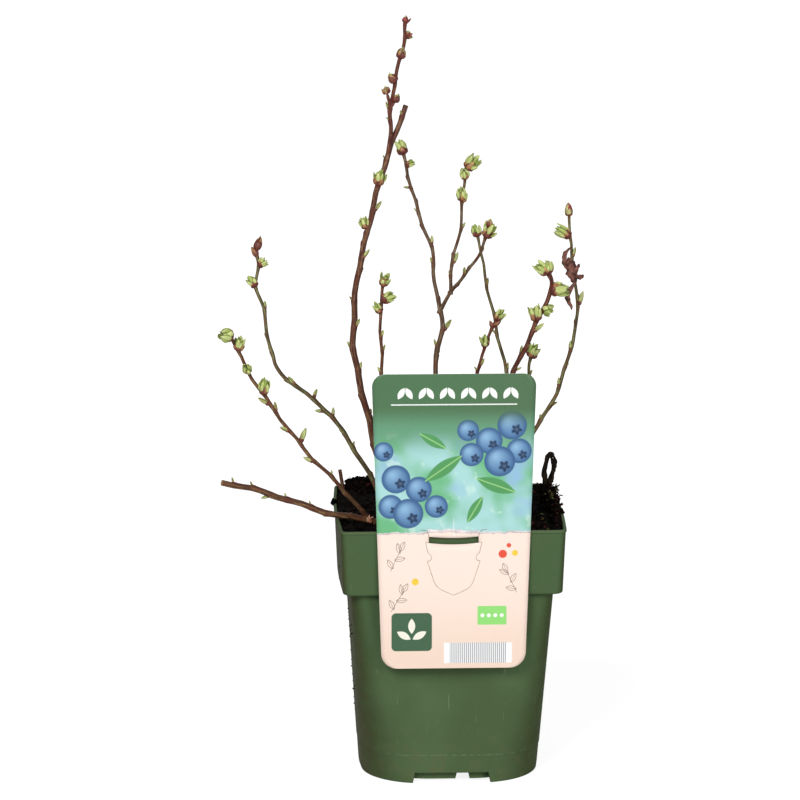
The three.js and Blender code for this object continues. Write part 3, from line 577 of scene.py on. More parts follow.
# %% The peat's surface
SOIL_MOUNDS = [(-50, 56, 8, 5.5), (-38, 60, 5, 3.5), (56, 40, 8, 4), (-8, 4, 18, 4), (36, 62, 9, -3)]
SOIL_WAVES = [(19, 0.9), (9, 0.6), (5.3, 0.4)]
SOIL_GRAINS = [(7, 0.8), (3.4, 1.2), (1.9, 1.0)]
PEAT_FRONT = 147.5
PEAT_RISE = 4
PEAT_HALF = RIM_HALF - 2.2
PEAT_COLUMNS = 460
PEAT_ROWS = 110


def peat_height(x, y):
    """Height of the peat: a slope, a bell for each mound, waves of three sizes, and random bumps."""
    height = PEAT_FRONT + PEAT_RISE * (y + RIM_HALF) / (2 * RIM_HALF)
    for mound_x, mound_y, spread, rise in SOIL_MOUNDS:
        height = height + rise * np.exp(-((x - mound_x) ** 2 + (y - mound_y) ** 2) / (2 * spread**2))
    for size, rise in SOIL_WAVES:
        height = height + rise * np.sin((2 * x + y) / size) * np.cos((2 * y - x) / size)
    for size, rise in SOIL_GRAINS:
        height = height + rise * (np.abs(bumps(x, y, 0, size, 3)) ** 0.7 - 0.3)
    return height


edge = outline(PEAT_HALF, RIM_CORNER - WALL, 150)
edge = np.vstack([edge, edge[:1]])
run = walked(edge)
peat_edge = along_line(np.linspace(0, run[-1], PEAT_COLUMNS, endpoint=False), run, edge)
shares = np.sqrt(np.linspace(0.0004, 1, PEAT_ROWS))[::-1]
surface = shares[:, None, None] * peat_edge
surface[..., 2] = peat_height(surface[..., 0], surface[..., 1])
cornered = np.linalg.norm(peat_edge[:, :2], axis=1) / np.abs(peat_edge[:, :2]).max(axis=1)
below = []
for height, share, corner in (  # how wide the peat is below its surface, along a side and at a corner
    (9.0, (body_half(9) - 2.2) / PEAT_HALF, 0.75), (COLLAR_FOOT + 1.8, 0.89, 0.98),
    (COLLAR_FOOT + 2.2, 0.975, 1.0),
):
    width = share * np.interp(cornered, [1, math.sqrt(2)], [1, corner])
    below.append(np.column_stack([peat_edge[:, :2] * width[:, None], np.full(PEAT_COLUMNS, height)]))
lowest, highest = surface[..., 2].min(), surface[..., 2].max()
print("peat surface from", round(float(lowest), 1), "to", round(float(highest), 1), "mm")

# %% [markdown]
# Wet peat is almost black with a warm brown in it. A few paler patches are dry crumbs.

# %% Peat material
peat = Finish("moist_peat", (8, 6, 5), shine=0.05)
peat.coat(peat.cloud(5, 6).step(0.35, 0.7), (22, 14, 10))
peat.coat(peat.cloud(1.3).step(0.68, 0.76) * 0.5, (62, 40, 26))
peat_brown = peat.finish(peat.cloud(2) * 0.3 + 0.65, peat.cloud(0.9, 6), 0.8)
peat_body = skin(np.concatenate([below, surface])[None])
make_piece("peat_surface", peat_body, [peat_brown], "peat", ["soil"], smooth=60)

# %% [markdown]
# Loose crumbs lie on the peat and along the right wall, and a few stick to the pot's outside. Each is
# a ball of a few dozen faces that random bumps push out of shape, so hundreds of them stay light.

# %% Crumbs
crumb = Finish("peat_crumbs", (8, 6, 5), shine=0.05)
tone = crumb.carried("tone")
crumb.coat(tone.step(0.3, 0.8), (25, 16, 12))
crumb.coat(tone.step(0.86, 0.9), (74, 34, 34))
crumb.coat(tone.step(0.94, 0.95), (92, 82, 50))
crumb.coat(tone.step(0.98, 0.985), (120, 126, 62))
crumb.coat(crumb.cloud(0.7).step(0.4, 0.7) * 0.5, (8, 6, 5))
crumb_brown = crumb.finish(crumb.cloud(1, 2) * 0.3 + 0.65, crumb.cloud(0.5), 0.2)
CRUMBS = 1100
CRUMB_REACH = 61
RIM_CRUMBS = 90
HEAPS = [  # x, y, how far they spread, how many crumbs
    (-49, 57, 7, 4, 90), (56, 44, 5, 9, 80), (61.5, 8, 2, 17, 260), (62, -38, 1.2, 14, 110),
]


def lumps(places, sizes, seed, rows=6, columns=8):
    """Crumbs: small balls whose radius is changed by random bumps, each squashed in its own way."""
    draw = np.random.default_rng(seed)
    up = np.linspace(0.12, 0.88, rows)[:, None] * math.pi
    turn = np.arange(columns) * 2 * math.pi / columns
    ball = np.stack([
        np.sin(up) * np.cos(turn), np.sin(up) * np.sin(turn), -np.cos(up) * np.ones(columns),
    ], -1)
    rings = ball[None] * np.asarray(sizes)[:, None, None, None]
    rings = rings * draw.uniform(0.6, 1.2, (len(sizes), 1, 1, 3))
    apart = rings + np.asarray(places)[:, None, None] * 7.0
    uneven = 1 + 0.75 * bumps(apart[..., 0], apart[..., 1], apart[..., 2], 0.9, seed)
    body = skin(rings * uneven[..., None] + np.asarray(places)[:, None, None])
    return body, np.repeat(draw.uniform(0, 1, len(sizes)), rows * columns + 2)


draw = np.random.default_rng(5)
spots = draw.uniform(-CRUMB_REACH, CRUMB_REACH, (CRUMBS, 2))
sizes = draw.uniform(0.45, 1.05, CRUMBS) ** 2 * 1.4
for x, y, spread_x, spread_y, count in HEAPS:
    spots = np.concatenate([spots, draw.normal((x, y), (spread_x, spread_y), (count, 2))])
    sizes = np.concatenate([sizes, draw.uniform(0.5, 1.6, count)])
inside = (np.abs(spots) < 64 - 0.5 * sizes[:, None]).all(axis=1)
spots, sizes = spots[inside], sizes[inside]

# Crumbs pile up in a strip along the right wall, some lie on the rim, and those on the left are darker.
near_right_wall = np.exp(-((spots[:, 0] - 62) / 2.6) ** 2 - ((spots[:, 1] + 12) / 46) ** 4)
piled = near_right_wall * draw.uniform(0, 5.5, len(spots))
spots = np.column_stack([spots, peat_height(spots[:, 0], spots[:, 1]) + 0.3 * sizes + piled])
on_rim = np.column_stack([
    draw.normal(64, 1.1, RIM_CRUMBS), draw.uniform(-22, 30, RIM_CRUMBS),
    draw.uniform(152.6, 155.4, RIM_CRUMBS),
])
spots = np.concatenate([spots, on_rim])
sizes = np.concatenate([sizes, draw.uniform(0.5, 1.3, RIM_CRUMBS)])
crumbs, crumb_tone = lumps(spots, sizes, 7)
crumb_tone = np.where(crumbs[0][:, 0] < 25, crumb_tone * 0.9, crumb_tone)
make_piece("peat_crumbs", crumbs, [crumb_brown], "peat", smooth=60, tone=crumb_tone)

# %% Dirt on the pot
DIRT_COUNT = 60
STUCK_CRUMBS = [  # x, y, z, size
    (-66.2, 13, 153.2, 1.9), (-66.9, 12, 154.4, 1.5), (-65.6, 14.6, 153.8, 1.3), (64.1, -10, 153.5, 0.8),
    (64.4, 30, 153.8, 1.1),
]
y, z = draw.uniform(-44, 40, DIRT_COUNT), draw.uniform(30, 150, DIRT_COUNT)
pot_side = np.where(z > COLLAR_FOOT, np.interp(z, [COLLAR_FOOT, POT_HEIGHT], [63.4, 64.8]), body_half(z))
dirt = np.column_stack([-pot_side - np.cos(y / 58 * math.pi / 2) * 1.2, y, z])
stuck = np.array(STUCK_CRUMBS)
sizes = np.concatenate([draw.uniform(0.25, 0.6, DIRT_COUNT), stuck[:, 3]])
dirt_body, dirt_tone = lumps(np.concatenate([dirt, stuck[:, :3]]), sizes, 8, 4, 6)
make_piece("dirt_on_pot", dirt_body, [crumb_brown], "peat", smooth=60, tone=dirt_tone * 0.6)

# %% [markdown]
# Torn fibres stand out of the peat like short hairs. Each is a tapering tube along a path that bends
# down, and all of them are worked out as one array. The same tube later makes twigs and frayed bark.

# %% Fibres
FIBRES = 420
FIBRE_HEAPS = [((-48, 56), (9, 5), 150), ((57, 42), (4, 8), 110)]  # middle, spread, how many of them


def threads(starts, directions, lengths, widths, droop=0.0, rows=7, columns=5, taper=2):
    """Thin fibres: a path that starts along a direction and bends down with the square of its run.

    Its thickness falls as the root of 1 - share^taper, so that a high taper leaves only the tip thin.
    """
    share = np.linspace(0, 1, rows)
    path = starts[:, None] + directions[:, None] * (lengths[:, None] * share)[..., None]
    path = path - np.array([0, 0, 1.0]) * (droop * lengths)[:, None, None] * share[:, None] ** 2
    along = unit(np.gradient(path, axis=1))
    side = unit(np.cross(along, [0.13, 0.21, 0.97]))
    thick = (widths[:, None] * np.sqrt(1.02 - share**taper))[..., None, None]
    ring = circle(side, np.cross(along, side), np.arange(columns) * 2 * math.pi / columns)
    return path[:, :, None] + ring * thick


at = draw.uniform(-60, 60, (FIBRES, 2))
first = 0
for middle, spread, count in FIBRE_HEAPS:
    at[first:first + count] = draw.normal(middle, spread, (count, 2))
    first += count
at = np.clip(at, -CRUMB_REACH, CRUMB_REACH)
start = np.column_stack([at, peat_height(at[:, 0], at[:, 1])])
way = unit(draw.normal(0, 1, (FIBRES, 3)) * [1, 1, 0.6] + [0, 0, 0.5])
fibre = threads(start, way, draw.uniform(1.5, 4.5, FIBRES), draw.uniform(0.07, 0.22, FIBRES),
                draw.uniform(0, 0.6, FIBRES))
fibre_tone = np.repeat(draw.uniform(0, 0.95, FIBRES), fibre.shape[1] * fibre.shape[2] + 2)
make_piece("peat_fibres", skin(fibre), [crumb_brown], "peat", tone=fibre_tone)

# %% [markdown]
# ## The shoots
# A blueberry shoot is round and slender, and swings a little from one leaf scar to the next. Each is
# led through a few bend points, as a gardener would bend a wire: a smooth curve runs through them,
# and rings of points are carried along it. Below each bud the bark swells into a small ledge, where
# last year's leaf stood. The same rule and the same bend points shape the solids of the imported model.

# %% The table of shoots
# closed: place as a share of the length, lean in degrees (minus: on the left), length, and "dry" if it is.
# opening: place, side of the shoot in degrees (0 right, 90 front), lean, size, and then, where they
# differ from 0 and "leafy", the length of the twig below the bud and its kind (see opening_bud).
SHOOTS = {
    "short_stem": dict(width=(11, 8.4), bends=[(-7, 6, 137), (-6, 6, 150), (-3, 5, 162), (-1, 6, 170)]),
    "tall_shoot": dict(
        width=(4.2, 3),
        bends=[(-31, 2, 140), (-35, 2, 157), (-44, 2, 196), (-53, 3, 235), (-55, 4, 254),
               (-53, 5, 286), (-47.5, 6, 312), (-41, 7, 339), (-35.5, 9, 357), (-24, 14, 388)],
        closed=[(0.27, 18, 4), (0.38, 24, 4.4), (0.43, -29, 4.5), (0.48, 26, 5.2), (0.54, -42, 3),
                (0.64, 24, 5.7), (0.75, 22, 6.2), (0.87, -50, 2.4), (0.975, -37, 3)],
        opening=[(0.81, 115, 18, 10), (0.7, 180, 30, 7.7, 2)],
    ),
    "tall_leader": dict(
        width=(2.4, 1.9), spray=("tall_spray", 0),
        bends=[(-34, 9, 363), (-33, 8, 376), (-33, 8, 386), (-30, 6, 407), (-26, 6, 421), (-25, 6, 437)],
        closed=[(0.23, -40, 2.4), (0.31, -30, 4.3), (0.985, 44, 5, "dry")],
        opening=[
            (0.995, 20, 8, 4.1, 0, "red"), (0.89, 5, 64, 6, 0, "cluster"), (0.72, 100, 22, 6.7, 0, "split"),
            (0.53, 170, 44, 6.8, 0, "split"), (0.33, 180, 20, 6.4, 7.5, "cluster"),
            (0.32, 10, 24, 5.4, 4.5, "split"),
        ],
    ),
    "left_green_shoot": dict(
        width=(3.1, 1.8), spray=("left_green_spray", 0.77),
        bends=[(-33, -6, 140), (-38, -8, 158), (-49, -4, 179), (-64, 2, 202), (-73, 6, 212), (-97, 14, 231),
               (-103, 20, 244), (-107, 27, 266), (-111, 32, 279), (-110, 36, 291), (-111, 40, 300)],
        closed=[(0.29, 41, 3), (0.34, -14, 3), (0.4, 44, 5), (0.43, -43, 5.5), (0.48, 70, 5.7),
                (0.55, 12, 5.6), (0.68, -12, 2.6), (0.81, 14, 4.9)],
        opening=[(1, 20, 27, 9.5, 0, "brown"), (0.98, 180, 22, 7, 0, "brown"), (0.95, 0, 55, 7.4),
                 (0.885, 180, 30, 8.2)],
    ),
    "low_cut_shoot": dict(
        width=(3.8, 3.4),
        bends=[(-29, -16, 140), (-36, -22, 148), (-47, -28, 152), (-69, -33, 157),
               (-93, -38, 166), (-111, -42, 173), (-132, -48, 179)],
        closed=[(0.53, 60, 2.6), (0.66, 60, 2.6), (0.74, -49, 5.2), (0.84, 60, 3), (0.94, 64, 3.4)],
    ),
    "outer_left_shoot": dict(
        width=(2.4, 1.9), spray=("outer_left_spray", 0.6),
        bends=[(-47, -28, 152), (-63, -32, 172), (-81, -38, 192), (-96.5, -44, 213),
               (-115, -50, 241.5), (-126.5, -56, 266)],
        closed=[(0.25, 40, 3), (0.35, -20, 6.2), (0.45, 58, 7.8), (0.52, -24, 6), (0.62, 28, 5.3),
                (0.66, -22, 7)],
        opening=[(1, 125, 56, 9.6, 0, "bowl"), (0.93, 15, 43, 9), (0.83, 80, 50, 7.6, 0, "ball"),
                 (0.71, 15, 38, 11.2, 0, "slim")],
    ),
    "short_left_shoot": dict(
        width=(2.2, 1.7), spray=("short_left_spray", 0.78),
        bends=[(-41, 3, 182), (-38.5, -4, 200), (-39, -12, 235), (-40, -20, 270), (-39, -24, 289)],
        closed=[(0.51, -24, 3.7), (0.63, 20, 3.8), (0.71, 16, 4.4)],
        opening=[(1, 30, 20, 8.6), (0.92, 5, 68, 9), (0.85, 180, 40, 7.3)],
    ),
    "forked_shoot": dict(
        width=(3.3, 2.7), bends=[(-2, 6, 161), (-6, 8, 192), (-7, 10, 232), (-3, 12, 258), (-4, 12, 269)],
        closed=[(0.75, 18, 2.8), (0.79, -31, 4.2), (0.88, 32, 7.2)],
    ),
    "fork_left_bough": dict(
        width=(2.3, 1.8), spray=("fork_left_spray", 0.86),
        bends=[(-4, 12, 268), (-7, 16, 283), (-8, 22, 300), (-13.5, 28, 316), (-20, 36, 337),
               (-24, 42, 356)],
        closed=[(0.29, -18, 3.8), (0.41, 23, 4.8), (0.63, -22, 2.7), (0.79, -75, 3.8)],
        opening=[(1, 170, 8, 9.8), (0.93, 10, 78, 6.3)],
    ),
    "fork_right_bough": dict(width=(2.2, 2), bends=[(-4, 12, 268), (-1, 10, 274), (2, 8, 280)]),
    "fork_middle_bough": dict(
        width=(1.9, 1.6), spray=("fork_middle_spray", 0.68),
        bends=[(2, 8, 280), (2, 8, 293), (7, 6, 316), (9, 2, 342), (10.5, 1, 353)],
        closed=[(0.13, -16, 2.6), (0.22, 16, 6.6), (0.51, 25, 3.8)],
        opening=[(1, 20, 36, 11), (0.92, 120, 32, 7.6, 0, "ball"), (0.74, 165, 14, 8.4, 0, "tulip"),
                 (0.73, 15, 14, 6.8, 0, "tulip")],
    ),
    "fork_outer_bough": dict(
        width=(1.9, 1.7), spray=("fork_outer_spray", 0.62),
        bends=[(2, 8, 280), (11, -2, 293), (17, -8, 303), (21, -12, 315)],
        closed=[(0.36, -30, 4.9)],
        opening=[(1, 30, 12, 10.8), (1, 180, 6, 5, 6.5, "split")],
    ),
    "middle_green_shoot": dict(
        width=(2.6, 1.6), spray=("middle_green_spray", 0.88),
        bends=[(-1, 8, 160), (14, 16, 167), (32, 26, 182), (39, 32, 208), (32, 44, 247), (26, 54, 275),
               (21, 62, 304)],
        closed=[(0.53, 20, 4.4), (0.66, -29, 3.4), (0.83, 21, 4.2)],
        opening=[(1, 170, 8, 8.2, 0, "tulip")],
    ),
    "short_right_shoot": dict(
        width=(2.3, 1.7), spray=("short_right_spray", 0.79),
        bends=[(1, 2, 162), (8, -12, 204), (16, -24, 237), (19, -30, 253), (26, -36, 271)],
        closed=[(0.7, -43, 3), (0.73, 16, 4.7)],
        opening=[(1, 45, 10, 8), (0.96, 0, 30, 6, 0, "brown"), (0.95, 180, 46, 4.6, 0, "brown"),
                 (0.84, 175, 22, 7.6)],
    ),
    "dark_right_shoot": dict(
        width=(3.3, 2.4), spray=("dark_right_spray", 0.77),
        bends=[(2, 5, 163), (25, 0, 200), (38, -4, 234), (47, -8, 255), (59, -10, 284), (57, -12, 294)],
        closed=[(0.56, 50, 3.8), (0.63, -18, 4.9), (0.67, 12, 3), (0.74, 26, 7)],
        opening=[(1, 165, 30, 12, 0, "pair"), (0.985, 10, 34, 4.8, 0, "brown"),
                 (0.92, 0, 68, 12, 0, "tulip"),
                 (0.84, 30, 84, 7.2, 0, "rosette"),
                 (0.785, 180, 34, 10.4)],
    ),
    "right_green_shoot": dict(
        width=(3, 1.6), spray=("right_green_spray", 0.85),
        bends=[(8, 12, 140), (14, 14, 157), (41, 18, 181), (64, 22, 214),
               (77, 28, 256), (77, 32, 275), (74.5, 38, 299), (73.5, 42, 319)],
        closed=[(0.39, -36, 3), (0.44, 35, 4), (0.5, -24, 4.7), (0.56, 20, 2.4),
                (0.61, -16, 5), (0.74, 25, 7.6), (0.88, 22, 5.6)],
        opening=[(1, 90, 6, 8, 0, "egg"), (0.94, 180, 54, 12, 0, "slim")],
    ),
    "stubby_shoot": dict(
        width=(2, 1.8), spray=("stubby_spray", 0.62), bends=[(49, 19.5, 191), (48, 14, 229), (49, 12, 240)],
        closed=[(0.77, 24, 3.2)], opening=[(1, 20, 20, 10)],
    ),
    "cut_stub": dict(width=(2.4, 2.1), bends=[(-58, 45, 145), (-60, 46, 154), (-62, 48, 166)]),
    "withered_shoot": dict(
        width=(2.6, 1.8),
        bends=[(59, 51, 144), (61.5, 53, 155), (61.5, 54, 166), (63.5, 54, 174), (66, 53, 169),
               (64.5, 52, 160)],
    ),
}
print("shoots:", len(SHOOTS), "opening buds:", sum(len(s.get("opening", ())) for s in SHOOTS.values()))

# %% A shoot's middle line
NODE_SPACING = 15
ZIGZAG = 0.5
COLLAR_SWELL = 0.3


def smooth_curve(bends, samples=600):
    """A curve through all bends: between two of them, the cubic that leaves each towards its neighbours."""
    b = np.array(bends, float)
    b = np.vstack([2 * b[0] - b[1], b, 2 * b[-1] - b[-2]])
    t = np.linspace(0, len(bends) - 1, samples)
    k = np.minimum(t.astype(int), len(bends) - 2)
    u = (t - k)[:, None]
    p, q, r, s = (b[k + i] for i in range(4))
    return (q * 2 + (r - p) * u + (2 * p - 5 * q + 4 * r - s) * u**2 + (3 * q - p - 3 * r + s) * u**3) / 2


class Shoot:
    """A shoot's middle line, directions and thickness at any distances from its foot."""

    def __init__(self, name, width, bends, closed=(), opening=(), spray=None):
        self.name, self.width, self.closed, self.opening, self.spray = name, width, closed, opening, spray
        self.curve = smooth_curve(bends)
        self.run = walked(self.curve)
        self.length = self.run[-1]
        self.swing = ZIGZAG if closed else 0

    def frame(self, distance):
        """Place, and the directions along, to the right and to the front, at each distance."""
        distance = np.atleast_1d(np.asarray(distance, float))
        inside = np.clip(distance, 0, self.length)
        place = along_line(inside, self.run, self.curve)
        along = unit(along_line(inside, self.run, np.gradient(self.curve, self.run, axis=0)))
        right = unit(np.cross([0, 1.0, 0], along))
        from_end = np.clip(np.minimum(inside, self.length - inside), 0, NODE_SPACING)
        wave = np.arcsin(np.sin(math.pi * inside / NODE_SPACING)) * 2 / math.pi
        place = place + right * (self.swing * wave * from_end / NODE_SPACING)[:, None]
        return place + along * (distance - inside)[:, None], along, right, np.cross(right, along)

    def radius(self, distance):
        """Half the thickness: an even taper, and a collar that fades out above the foot."""
        taper = np.interp(distance, [0, self.length], self.width) / 2
        return taper * (1 + COLLAR_SWELL * np.exp(-np.maximum(distance, 0) / 5))

    def outward(self, distance, degrees):
        """The direction on one side of the shoot: 0 right, 90 front, 180 left, 270 back."""
        _, _, right, front = self.frame(distance)
        angle = math.radians(degrees)
        return (right * math.cos(angle) + front * math.sin(angle))[0]


plant = {name: Shoot(name, **given) for name, given in SHOOTS.items()}
print("all shoots end to end:", round(sum(s.length for s in plant.values())), "mm")

# %% Where the closed buds sit
BUD_TURN = 35


def seeded(seed):
    """A source of numbers from 0 to 1 that is the same each time it starts from a seed."""
    state = seed
    while True:
        state = (state * 1664525 + 1013904223) % 4294967296
        yield state / 4294967296


def closed_places(index, shoot):
    """Side in degrees of each closed bud: left or right, turned a little to the front or the back."""
    split = (shoot.spray[1] if shoot.spray else 1) * shoot.length
    stretches = [
        (0, split - 0.45 if shoot.spray else split, 2 * index + 1), (split, shoot.length, 2 * index + 2),
    ]
    found = []
    for start, end, seed in stretches[: 2 if shoot.spray else 1]:
        numbers = seeded(seed)
        for share, lean, length, *dry in shoot.closed:
            if start <= share * shoot.length <= end:
                side = (180 if lean < 0 else 0) + BUD_TURN * (2 * next(numbers) - 1)
                found.append((share * shoot.length, side, abs(lean), length, *dry))
    return found


closed_buds = {name: closed_places(i, shoot) for i, (name, shoot) in enumerate(plant.items())}
print("closed buds:", sum(len(found) for found in closed_buds.values()))

# %% [markdown]
# Young bark is smooth and waxy. On the older shoots it is red-brown with grey streaks, and on last
# year's growth olive with a red flush in patches and at each ledge. Painted shade darkens the right
# side of every shoot. Each bark mesh carries its own place on the shoot, round it and along it, so the
# streaks follow every bend without a seam.

# %% Bark materials
# the dark colour also paints shade on the right side of each shoot
BARK_COLOURS = {  # base, dark streaks, light streaks and pits, flush, roughness
    "red_brown_bark": ((116, 68, 50), (70, 36, 30), (160, 122, 96), (98, 42, 34), 0.42),
    "olive_and_red_bark": ((122, 86, 60), (72, 38, 32), (168, 138, 104), (94, 46, 36), 0.42),
    "golden_brown_bark": ((124, 92, 58), (74, 44, 32), (170, 140, 98), (104, 52, 40), 0.42),
    "olive_bark": ((118, 112, 68), (66, 56, 34), (164, 160, 108), (104, 62, 42), 0.4),
    "grey_brown_bark": ((118, 96, 70), (76, 54, 40), (164, 148, 118), (104, 58, 42), 0.45),
    "withered_bark": ((62, 46, 28), (18, 12, 8), (140, 112, 70), (30, 20, 13), 0.75),
}
SHOOTS_BY_BARK = {  # all other shoots are red-brown
    "olive_and_red_bark": ("tall_shoot", "cut_stub", "short_left_shoot"),
    "golden_brown_bark": ("low_cut_shoot", "outer_left_shoot"),
    "olive_bark": ("left_green_shoot", "middle_green_shoot", "right_green_shoot", "stubby_shoot"),
    "grey_brown_bark": ("forked_shoot", "fork_left_bough", "fork_right_bough", "fork_middle_bough",
                        "fork_outer_bough"),
    "withered_bark": ("withered_shoot",),
}


def bark_finish(name, base, dark, light, flush, roughness):
    """Bark: long streaks of three colours, a flush at the ledges, pits, and a cut end of pale wood."""
    bark = Finish(name, base, shine=0.2, attribute="bark_place")
    streaks = bark.stretched((1, 1, 0.1))
    bark.coat(bark.cloud(0.9, 4, streaks).step(0.38, 0.62), dark)
    bark.coat(bark.cloud(0.5, 3, streaks).step(0.54, 0.68) * 0.6, light)
    bark.coat(bark.cloud(9).step(0.45, 0.65) * 0.7, flush)
    bark.coat(bark.carried("ledge").step(0.1, 0.8) * 0.75, flush)
    # painted shade: the right side of every shoot is darkened with the dark streak colour
    right_side, _, _ = bark.split(bark.where)
    bark.coat(right_side.step(-0.1, 1.1) * 0.6, dark)
    bark.coat(bark.cloud(0.45, 1).step(0.7, 0.76) * 0.6, light)
    wood = bark.blend(bark.cloud(0.4).step(0.3, 0.7), (196, 168, 128), (150, 118, 84))
    bark.coat(bark.carried("cut").step(0.3, 0.7), wood)
    return bark.finish(bark.cloud(3, 2) * 0.2 + roughness, bark.cloud(0.35, 3, streaks), 0.12)


barks = {name: bark_finish(name, *row) for name, row in BARK_COLOURS.items()}
bark_of = {name: barks["red_brown_bark"] for name in SHOOTS}
bark_of.update({name: barks[bark] for bark, names in SHOOTS_BY_BARK.items() for name in names})
print("kinds of bark:", len(barks))

# %% The bark of each shoot
ROW_STEP = 0.8
BARK_COLUMNS = 18
LEDGE_HEIGHT = 0.42
LEDGE_RISE = 2.4
LEDGE_BREAK = 0.5
WRINKLE = 0.045
BARE_LEDGE_START = 7.5
BARE_LEDGE_GAP = 6  # a bare ledge is left out where a bud sits nearer than this
CUT_ENDS = ("tall_shoot", "low_cut_shoot", "cut_stub", "short_stem")


def bark_rings(shoot, ledges):
    """Rings along a shoot. Each ledge rises over 2.4 mm and breaks off within half a millimetre."""
    cut = shoot.name in CUT_ENDS
    start = -2.0 if shoot.spray or "bough" in shoot.name else 0.0
    distance = np.linspace(start, shoot.length, int((shoot.length - start) / ROW_STEP))
    radius = shoot.radius(distance)
    steps, shares = ([0.12, 0.14], [0.9, 0.45]) if cut else ([0.5], [0.6])
    distance = np.append(distance, shoot.length + np.array(steps))
    radius = np.append(radius, radius[-1] * np.array(shares))
    angle = -np.arange(BARK_COLUMNS) * 2 * math.pi / BARK_COLUMNS
    swell = np.zeros((len(distance), BARK_COLUMNS))
    for at, degrees in ledges:
        ahead = distance - at
        rise = np.exp(-((ahead / np.where(ahead < 0, LEDGE_RISE, LEDGE_BREAK)) ** 2))
        facing = np.clip(np.cos(angle - math.radians(degrees)), 0, 1) ** 1.3
        swell = np.maximum(swell, rise[:, None] * (0.25 + 0.75 * facing))
    d = distance[:, None]
    uneven = bumps(np.cos(angle) * 1.6, np.sin(angle) * 1.6, d / 5, 1.0, 21)
    ridges = bumps(np.cos(angle) * 4, np.sin(angle) * 4, d / 4, 1.0, 22)
    size = radius[:, None] * (1 + WRINKLE * (uneven + 0.7 * ridges)) + LEDGE_HEIGHT * swell
    place, _, right, front = shoot.frame(distance)
    rings = place[:, None] + circle(right, front, angle) * size[..., None]
    own = np.stack([size * np.cos(angle), size * np.sin(angle), np.broadcast_to(d, size.shape)], -1)
    shown = np.zeros(size.shape)
    shown[-2:] = cut
    return rings, own, swell, shown


def bark_piece(name, shoot):
    """The bark of one shoot as a piece of its own, from the foot to the last bud."""
    ledges = [(at, side) for at, side, *_ in closed_buds[name]]
    ledges += [(bud[0] * shoot.length, bud[1]) for bud in shoot.opening]
    for at in np.arange(BARE_LEDGE_START, shoot.length * 0.9, NODE_SPACING):
        if shoot.closed and all(abs(at - other) > BARE_LEDGE_GAP for other, _ in ledges):
            ledges.append((at, 0 if int(at // NODE_SPACING) % 2 == 0 else 180))
    rings, own, swell, cut = bark_rings(shoot, ledges)
    nodes = [name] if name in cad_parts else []
    nodes += [shoot.spray[0]] if shoot.spray else []
    slot = "green_bark" if "green" in name or "fork" in name else "red_bark"
    return make_piece(
        f"{name}_bark", skin(rings[None]), [bark_of[name]], slot, nodes, smooth=50,
        bark_place=skin_numbers(own[None]), ledge=skin_numbers(swell[None]), cut=skin_numbers(cut[None]),
    )


for name, shoot in plant.items():
    if name != "withered_shoot":
        bark_piece(name, shoot)

# %% [markdown]
# Where the outer left shoot leaves the low cut one, a young shoot has broken off and left a bright
# orange knot. It is a cluster of three crumbs with a smoother, glossier skin.

# %% The knot where two shoots part
knot = Finish("orange_knot", (168, 84, 48))
knot.coat(knot.cloud(1.6).step(0.4, 0.62), (232, 196, 168))
knot.coat(knot.cloud(0.8, 2).step(0.6, 0.7) * 0.6, (92, 40, 26))
knot_skin = knot.finish(knot.cloud(1, 2) * 0.2 + 0.4, knot.cloud(0.5), 0.1)
knot_body, _ = lumps([(-47.2, -29.4, 152.9), (-46.4, -29.6, 151.6), (-48, -29.2, 151.8)],
                     [1.7, 1.4, 1.2], 4, 10, 14)
make_piece("parting_knot", knot_body, [knot_skin], "red_bark", smooth=60)

# %% [markdown]
# ## The buds
# An opening blueberry bud is an egg of overlapping leaves: short, round, brown scales hold its foot,
# and yellow-green leaflets push up between them and spread at their tips. Each leaf is a thin shell.
# Its middle line climbs the egg, its width swells and closes to a point, and its cross-section is a
# flat loop that cups round the bud. All leaves of one kind are worked out together and joined.

# %% One formula for every scale and leaflet
LEAF_ROWS = 7
LEAF_COLUMNS = 8
GOLDEN_ANGLE = math.pi * (3 - math.sqrt(5))


